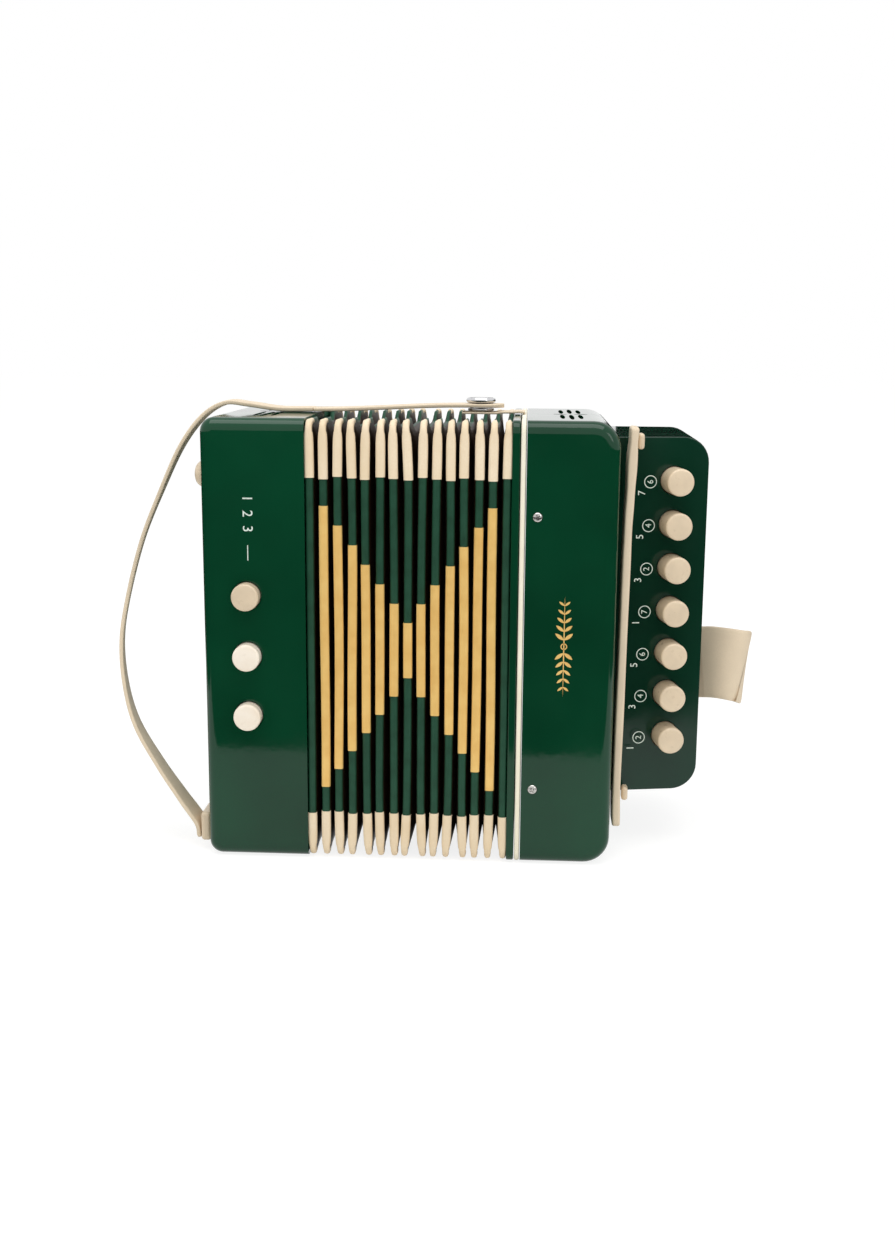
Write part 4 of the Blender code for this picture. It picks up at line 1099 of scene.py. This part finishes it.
class ACCORDION_OT_bellows(bpy.types.Operator):
    """Builds the pleated bellows, its corner caps, its gold stripes and its end frame and piping"""

    bl_idname = "accordion.bellows"
    bl_label = "Bellows"

    def execute(self, context):
        for piece, slot in ((bellows_piece(), "bellows_card"),
                            (corner_caps_piece(), "cream_leather"),
                            (stripes_piece(), "reed_brass")):
            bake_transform(piece)
        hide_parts("bellows")
        use(ring_piece("treble_frame_strip", "treble_bellows_frame", 0.0070, 0.0006, "green"),
            "treble_body", "green_lacquer", "treble_bellows_frame")
        use(ring_piece("cream_piping", "treble_piping", 0.0035, 0.0007, "piping"), "treble_body",
            "cream_leather", "treble_piping")
        return {"FINISHED"}


class ACCORDION_OT_buttons(bpy.types.Operator):
    """Builds each button with its stem, and its felt pallet"""

    bl_idname = "accordion.buttons"
    bl_label = "Buttons"

    def execute(self, context):
        for i, z in enumerate(TREBLE_HEIGHTS, 1):
            self.key("treble", i, on_panel(TREBLE_INSET, z), -PANEL_NORMAL, TREBLE_RISE, "cream")
        for i, z in enumerate(BASS_HEIGHTS, 1):
            self.key("bass", i, np.array([BASS_X, -HALF_DEPTH, z]), BACKWARD, BASS_RISE,
                     "cream" if i == len(BASS_HEIGHTS) else "white")
        return {"FINISHED"}

    def key(self, side, number, face, inward, rise, finish):
        stem = rise + SPRING_ROOM + BOARD + PALLET + STEM_END + 5 * GAP
        for kind, parts, node, made, slot in (
                ("cap", button_parts(face, inward, rise, stem), "button", finish,
                 finish + "_plastic"),
                ("felt", pallet_parts(face, inward, rise), "pallet", "felt", "pallet_felt")):
            use(joined(f"{side}_{kind}_{number}", [parts], made, 50.0), f"{side}_key_{number}",
                slot, f"{side}_{node}_{number}")


class ACCORDION_OT_straps(bpy.types.Operator):
    """Builds the hand strap with its pad and stud, the keyboard strap with its lugs and the thumb
    loop"""

    bl_idname = "accordion.straps"
    bl_label = "Straps"

    def execute(self, context):
        straps = context.scene.accordion_straps
        self.hand_strap(straps.hand_width, straps.hand_thickness)
        self.keyboard_strap()
        self.thumb_loop(straps.thumb_width)
        return {"FINISHED"}

    def hand_strap(self, width, thick):
        top, low, foot_y, lean = CASE_HEIGHT + thick / 2 + GAP, 0.0105, -0.035, math.radians(12.5)
        span = CASE_HEIGHT - low
        pad_face = 0.0041 + 2 * GAP + thick / 2
        # How far out, the share of the foot's place in y, and the share of the case's height
        bow = ((0.0145, 0.9, 0.054), (0.0241, 0.8, 0.128), (0.0342, 0.7, 0.224),
               (0.0394, 0.6, 0.320), (0.0413, 0.5, 0.427), (0.0392, 0.4, 0.534),
               (0.0332, 0.3, 0.679), (0.0252, 0.2, 0.804), (0.0170, 0.1, 0.914),
               (0.0082, 0.0, 0.987))
        route = [(pad_face, 1.0, low - 0.0048), (pad_face + 0.0012, 1.0, low),
                 *[(out, share, low + rise * span) for out, share, rise in bow],
                 (-0.0015, 0.0, top + 0.0022), (-0.0115, 0.0, top + 0.0016), (-0.0240, 0.0, top),
                 (-0.0371, 0.0, top)]
        path = smooth_path([(BASS_LOW.x - out, foot_y * share, z) for out, share, z in route], 8)
        turn = np.sin(math.pi * np.minimum(np.linspace(0, 1.25, len(path)), 1.0)) ** 1.5
        across = np.stack([-np.sin(lean * turn), np.ones_like(turn), 0 * turn], 1)
        rings = rounded_ends(strap_rings(path, across, width, thick))
        use(lofted("hand_strap_leather", rings, "leather", 60.0), "bass_body", "cream_leather",
            "hand_strap")
        use(soft_box("hand_strap_pad", *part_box("hand_strap_anchor"), 0.0014, "cream"), "bass_body",
            "cream_plastic", "hand_strap_anchor")
        low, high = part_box("bass_side_stud")
        dome = ((1.0, 0.0001), (0.99, 0.0012), (0.94, 0.0024), (0.84, 0.0033), (0.68, 0.0041),
                (0.48, 0.0047), (0.25, 0.0051), (0.0, 0.0052))
        stud = turned([(share * 0.0034, radius) for share, radius in dome],
                      (high.x, (low.y + high.y) / 2, (low.z + high.z) / 2), (-1, 0, 0))
        use(joined("hand_strap_stud", [stud], "cream", 60.0), "bass_body", "cream_plastic",
            "bass_side_stud")

    def keyboard_strap(self):
        thick, width = 0.0034, 0.014
        side = TREBLE_HIGH.x + GAP + thick / 2
        front = KEYS_LOW.y - 2 * GAP - width / 2
        top, low = KEYS_HIGH.z + 0.0015, KEYS_LOW.z - 0.0067
        bows = ((0.0, 0.0008), (0.10, 0.0006), (0.35, 0.0011), (0.62, 0.0016), (0.76, 0.0019),
                (0.84, 0.0024), (0.95, 0.0030), (1.0, 0.0034))
        path = smooth_path([(side + bow, front, low + share * (top - low))
                            for share, bow in bows], 10)
        share = np.linspace(0, 1, len(path))
        swell = (1 + 0.16 * np.exp(-((share - 0.80) / 0.05) ** 2)
                 - 0.10 * np.exp(-((share - 0.90) / 0.04) ** 2) + 0.03 * np.sin(share * 31))
        rings = strap_rings(path, BACKWARD, width, thick * swell * 0.97)
        rings[:, :, 0] = np.maximum(rings[:, :, 0], TREBLE_HIGH.x + GAP * 0.6)
        use(lofted("keyboard_strap_leather", rounded_ends(rings, 0.0012), "leather", 60.0),
            "treble_body", "cream_leather", "keyboard_strap")
        for node in ("keyboard_strap_anchor_top", "keyboard_strap_anchor_bottom"):
            low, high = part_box(node)
            high.y = min(high.y, panel(0.0)(np.array([low.x]))[0] - 0.0001)
            use(soft_box(node + "_lug", low, high, 0.0012, "cream"), "treble_body",
                "cream_plastic", node)

    def thumb_loop(self, width):
        root, reach, depth, centre = KEYS_HIGH.x + 2 * GAP, 0.018, 0.026, 0.0747
        route = ((0.0, -0.0040), (0.50, -0.0085), (0.84, -0.0070), (0.955, 0.0), (0.84, 0.0080),
                 (0.45, depth * 0.62), (0.0, depth * 0.72))
        path = smooth_path([(root + reach * out, y, centre - 0.005 * max(out - 0.2, 0.0) ** 3)
                            for out, y in route], 10)
        path[:, 2] -= np.maximum(path[:, 1] + 0.006, 0.0) * 0.26
        lean = math.tan(math.radians(5.4)) * (path[:, 0] - root) / reach
        across = np.stack([lean, 0 * lean, 0 * lean + 1], 1)
        rings = strap_rings(path, across, width, 0.002, 40)
        use(lofted("thumb_loop_leather", rings, "leather", 60.0), "treble_body", "cream_leather",
            "thumb_strap")


class ACCORDION_OT_closures(bpy.types.Operator):
    """Builds the two closure straps with their snap caps, studs and tabs"""

    bl_idname = "accordion.closures"
    bl_label = "Closures and snaps"

    def execute(self, context):
        width = context.scene.accordion_straps.closure_width
        for side, up in (("top", 1), ("bottom", -1)):
            self.strap(side, width)
            self.tab(side, up, width * 0.9)
            for part, radius, body in (("snap_cap", 0.0060, f"{side}_closure"),
                                       ("snap_stud", 0.0054, "treble_body")):
                low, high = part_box(f"{side}_{part}")
                centre = ((low.x + high.x) / 2, 0.0, low.z if up > 0 else high.z)
                made = turned(snap_profile(high.z - low.z, radius), centre, (0, 0, up), 64)
                use(joined(f"{side}_{part}_chrome", [made], "chrome", 60.0), body, "chrome",
                    f"{side}_{part}")
        return {"FINISHED"}

    def strap(self, side, width):
        low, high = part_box(f"{side}_closure_strap")
        thick = 0.0016
        flat_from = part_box(f"{side}_snap_cap")[0].x - GAP
        x = np.linspace(low.x, high.x, 60)
        rise = (high.z - low.z - thick) * eased((x - low.x) / (flat_from - low.x))
        path = np.stack([x, 0 * x, low.z + thick / 2 + rise], 1)
        rings = strap_rings(path, BACKWARD, width, thick)
        round_in = np.clip((high.x - rings[:, :, 0]) / 0.006, 0, 1)
        rings[:, :, 1] *= np.sqrt(np.clip(1 - (1 - round_in) ** 2, 0.03, 1))
        use(lofted(f"{side}_closure_leather", rings, "leather", 60.0), f"{side}_closure",
            "cream_leather", f"{side}_closure_strap")

    def tab(self, side, up, width):
        thick = 0.0010
        stud_low, stud_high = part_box(f"{side}_snap_stud")
        low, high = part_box(f"{side}_snap_tab")
        snap_x = (stud_low.x + stud_high.x) / 2
        if up > 0:
            frame_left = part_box("treble_bellows_frame")[0].x
            z, over = stud_low.z - GAP - thick / 2, CASE_HEIGHT + GAP + thick / 2
            end = [(frame_left - 0.0050, z + 0.0003), (frame_left - 0.0012, over),
                   (frame_left + 0.0020, over + 0.0002),
                   (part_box("treble_piping")[0].x + 0.0012, over)]
        else:
            z = (low.z + high.z) / 2
            end = [(high.x, z)]
        route = [(low.x, z), (snap_x, z), (snap_x + 0.0060, z), *end]
        path = smooth_path([(x, 0.0, height) for x, height in route], 8)
        use(lofted(f"{side}_tab_leather", strap_rings(path, BACKWARD, width, thick), "leather",
                   60.0), "treble_body", "cream_leather", f"{side}_snap_tab")


def beside_buttons(across, height):
    """Puts a print on the panel, turned a quarter so that its reading direction points up."""
    return lambda x, y, h: (PANEL_CORNER + np.outer(across - y, PANEL_ACROSS)
                            + np.outer(height + x, UP) + np.outer(h + PRINT_LIFT, PANEL_NORMAL))


def on_front(across, height, up):
    """Puts a print on a case's front, its reading direction pointing up (1) or down (-1)."""
    return lambda x, y, h: np.stack([across + y, -HALF_DEPTH - PRINT_LIFT - h, height + up * x], 1)


class ACCORDION_OT_trim(bpy.types.Operator):
    """Builds the case screws and the printed numbers, rings and ornament"""

    bl_idname = "accordion.trim"
    bl_label = "Screws and prints"

    def execute(self, context):
        for i in (1, 2):
            low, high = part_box(f"case_screw_{i}")
            centre = ((low.x + high.x) / 2, -HALF_DEPTH, (low.z + high.z) / 2)
            shank = turned([(0.0005, 0.0010), (0.0060, 0.0010)], centre, (0, 1, 0), 24)
            parts = [screw_head(centre, 0.0019), shank]
            use(joined(f"case_screw_{i}_head", parts, "steel", 45.0), "treble_body", "chrome",
                f"case_screw_{i}")
        self.numbers()
        self.bass_marks()
        self.ornament()
        return {"FINISHED"}

    def numbers(self):
        """Cipher notation beside each button: a plain number and a ringed one."""
        parts, column, drift = [], 0.0304, 0.0012
        for i, (z, ringed, plain) in enumerate(zip(TREBLE_HEIGHTS, "2467246", "1351357")):
            across = (column + drift * (i / 6 - 0.5) - KEYS_LOW.x) / math.cos(PANEL_LEAN)
            ring_place = beside_buttons(across, z - 0.0003)
            plain_place = beside_buttons(across - 0.0033, z - 0.0047)
            parts += [annulus_parts(0.0024, 0.00032, ring_place),
                      text_parts(ringed, 0.0034, ring_place),
                      text_parts(plain, 0.0042, plain_place)]
        use(joined("panel_numbers", parts, "ink"), "treble_body", "white_plastic")

    def bass_marks(self):
        """Numbers of the bass buttons, one after another, and a short line that points to them."""
        x, numbers_at, line_at = BASS_X + 0.0008, 0.1393, 0.1240
        parts = [text_parts("1  2  3", 0.0056, on_front(x, numbers_at, -1)),
                 bar_parts(0.0060, 0.00035, on_front(x, line_at, -1))]
        use(joined("bass_marks", parts, "ink"), "bass_body", "white_plastic")

    def ornament(self):
        """A sprig of gold leaves on a stem, with leaves in pairs that shrink to both ends."""
        place, spread = on_front(-0.0022, 0.0892, 1), math.radians(52)
        parts = [leaf_parts((0.0, 0.0), 0.0400, 0.00045, 0.0, place)]
        for k in (-5, -4, -3, -2, -1, 1, 2, 3, 4, 5):
            size, end = 0.0046 * (1 - 0.085 * abs(k)), math.copysign(1, k)
            for side in (-1, 1):
                turn = side * spread if k > 0 else math.pi - side * spread
                centre = (k * 0.0034 + end * (0.35 * size - 0.0010), side * 0.42 * size)
                parts.append(leaf_parts(centre, size, size * 0.34, turn, place))
        parts.append(annulus_parts(0.0011, 0.0004, place))
        use(joined("treble_ornament", parts, "gold"), "treble_body", "reed_brass")


class ACCORDION_OT_inside(bpy.types.Operator):
    """Gives the pieces inside the cases their finishes"""

    bl_idname = "accordion.inside"
    bl_label = "Inside pieces"

    def execute(self, context):
        finishes = {"green_lacquer": "green", "dark_green_lacquer": "dark", "birch_board": "birch",
                    "reed_brass": "brass", "chrome": "spring", "cream_plastic": "cream",
                    "white_plastic": "white", "cream_leather": "leather", "pallet_felt": "felt",
                    "bellows_card": "cloth"}
        slots = {row["node"]: row["material_slot"] for row in frame["record"]["subparts"]}
        for name, node in frame["nodes"].items():
            if not node.hide_render:
                node.data.materials.clear()
                node.data.materials.append(look(finishes[slots[name]]))
        for side, count, inward, travel in (("treble", 7, -PANEL_NORMAL, TREBLE_TRAVEL),
                                            ("bass", 3, BACKWARD, BASS_TRAVEL)):
            for i in range(1, count + 1):
                spring_piece(f"{side}_spring_{i}", f"{side}_body", inward)
        return {"FINISHED"}


class ACCORDION_PT_pieces(bpy.types.Panel):
    """Lists the sizes, colours and pieces."""

    bl_idname = "ACCORDION_PT_pieces"
    bl_label = "Toy button accordion"
    bl_space_type = "VIEW_3D"
    bl_region_type = "UI"
    bl_category = "Accordion"

    def draw(self, context):
        for group in GROUPS:
            box = self.layout.box()
            settings = getattr(context.scene, group)
            for name in settings.bl_rna.properties.keys():
                if name not in ("rna_type", "name"):
                    box.prop(settings, name)
        for operator in OPERATORS:
            self.layout.operator(operator.bl_idname)


GROUPS = {
    "accordion_finish": AccordionFinish,
    "accordion_bellows": AccordionBellows,
    "accordion_straps": AccordionStraps,
    "accordion_stage": AccordionStage,
}
OPERATORS = (
    ACCORDION_OT_stage, ACCORDION_OT_cases, ACCORDION_OT_keyboard, ACCORDION_OT_bellows,
    ACCORDION_OT_buttons, ACCORDION_OT_straps, ACCORDION_OT_closures, ACCORDION_OT_trim,
    ACCORDION_OT_inside,
)


def register():
    for name, group in GROUPS.items():
        bpy.utils.register_class(group)
        setattr(bpy.types.Scene, name, bpy.props.PointerProperty(type=group))
    for made in (*OPERATORS, ACCORDION_PT_pieces):
        bpy.utils.register_class(made)


def unregister():
    for made in (ACCORDION_PT_pieces, *reversed(OPERATORS)):
        bpy.utils.unregister_class(made)
    for name, group in GROUPS.items():
        delattr(bpy.types.Scene, name)
        bpy.utils.unregister_class(group)


def main():
    register()
    for operator in OPERATORS:
        area, name = operator.bl_idname.split(".")
        getattr(getattr(bpy.ops, area), name)()


if __name__ == "__main__":
    main()
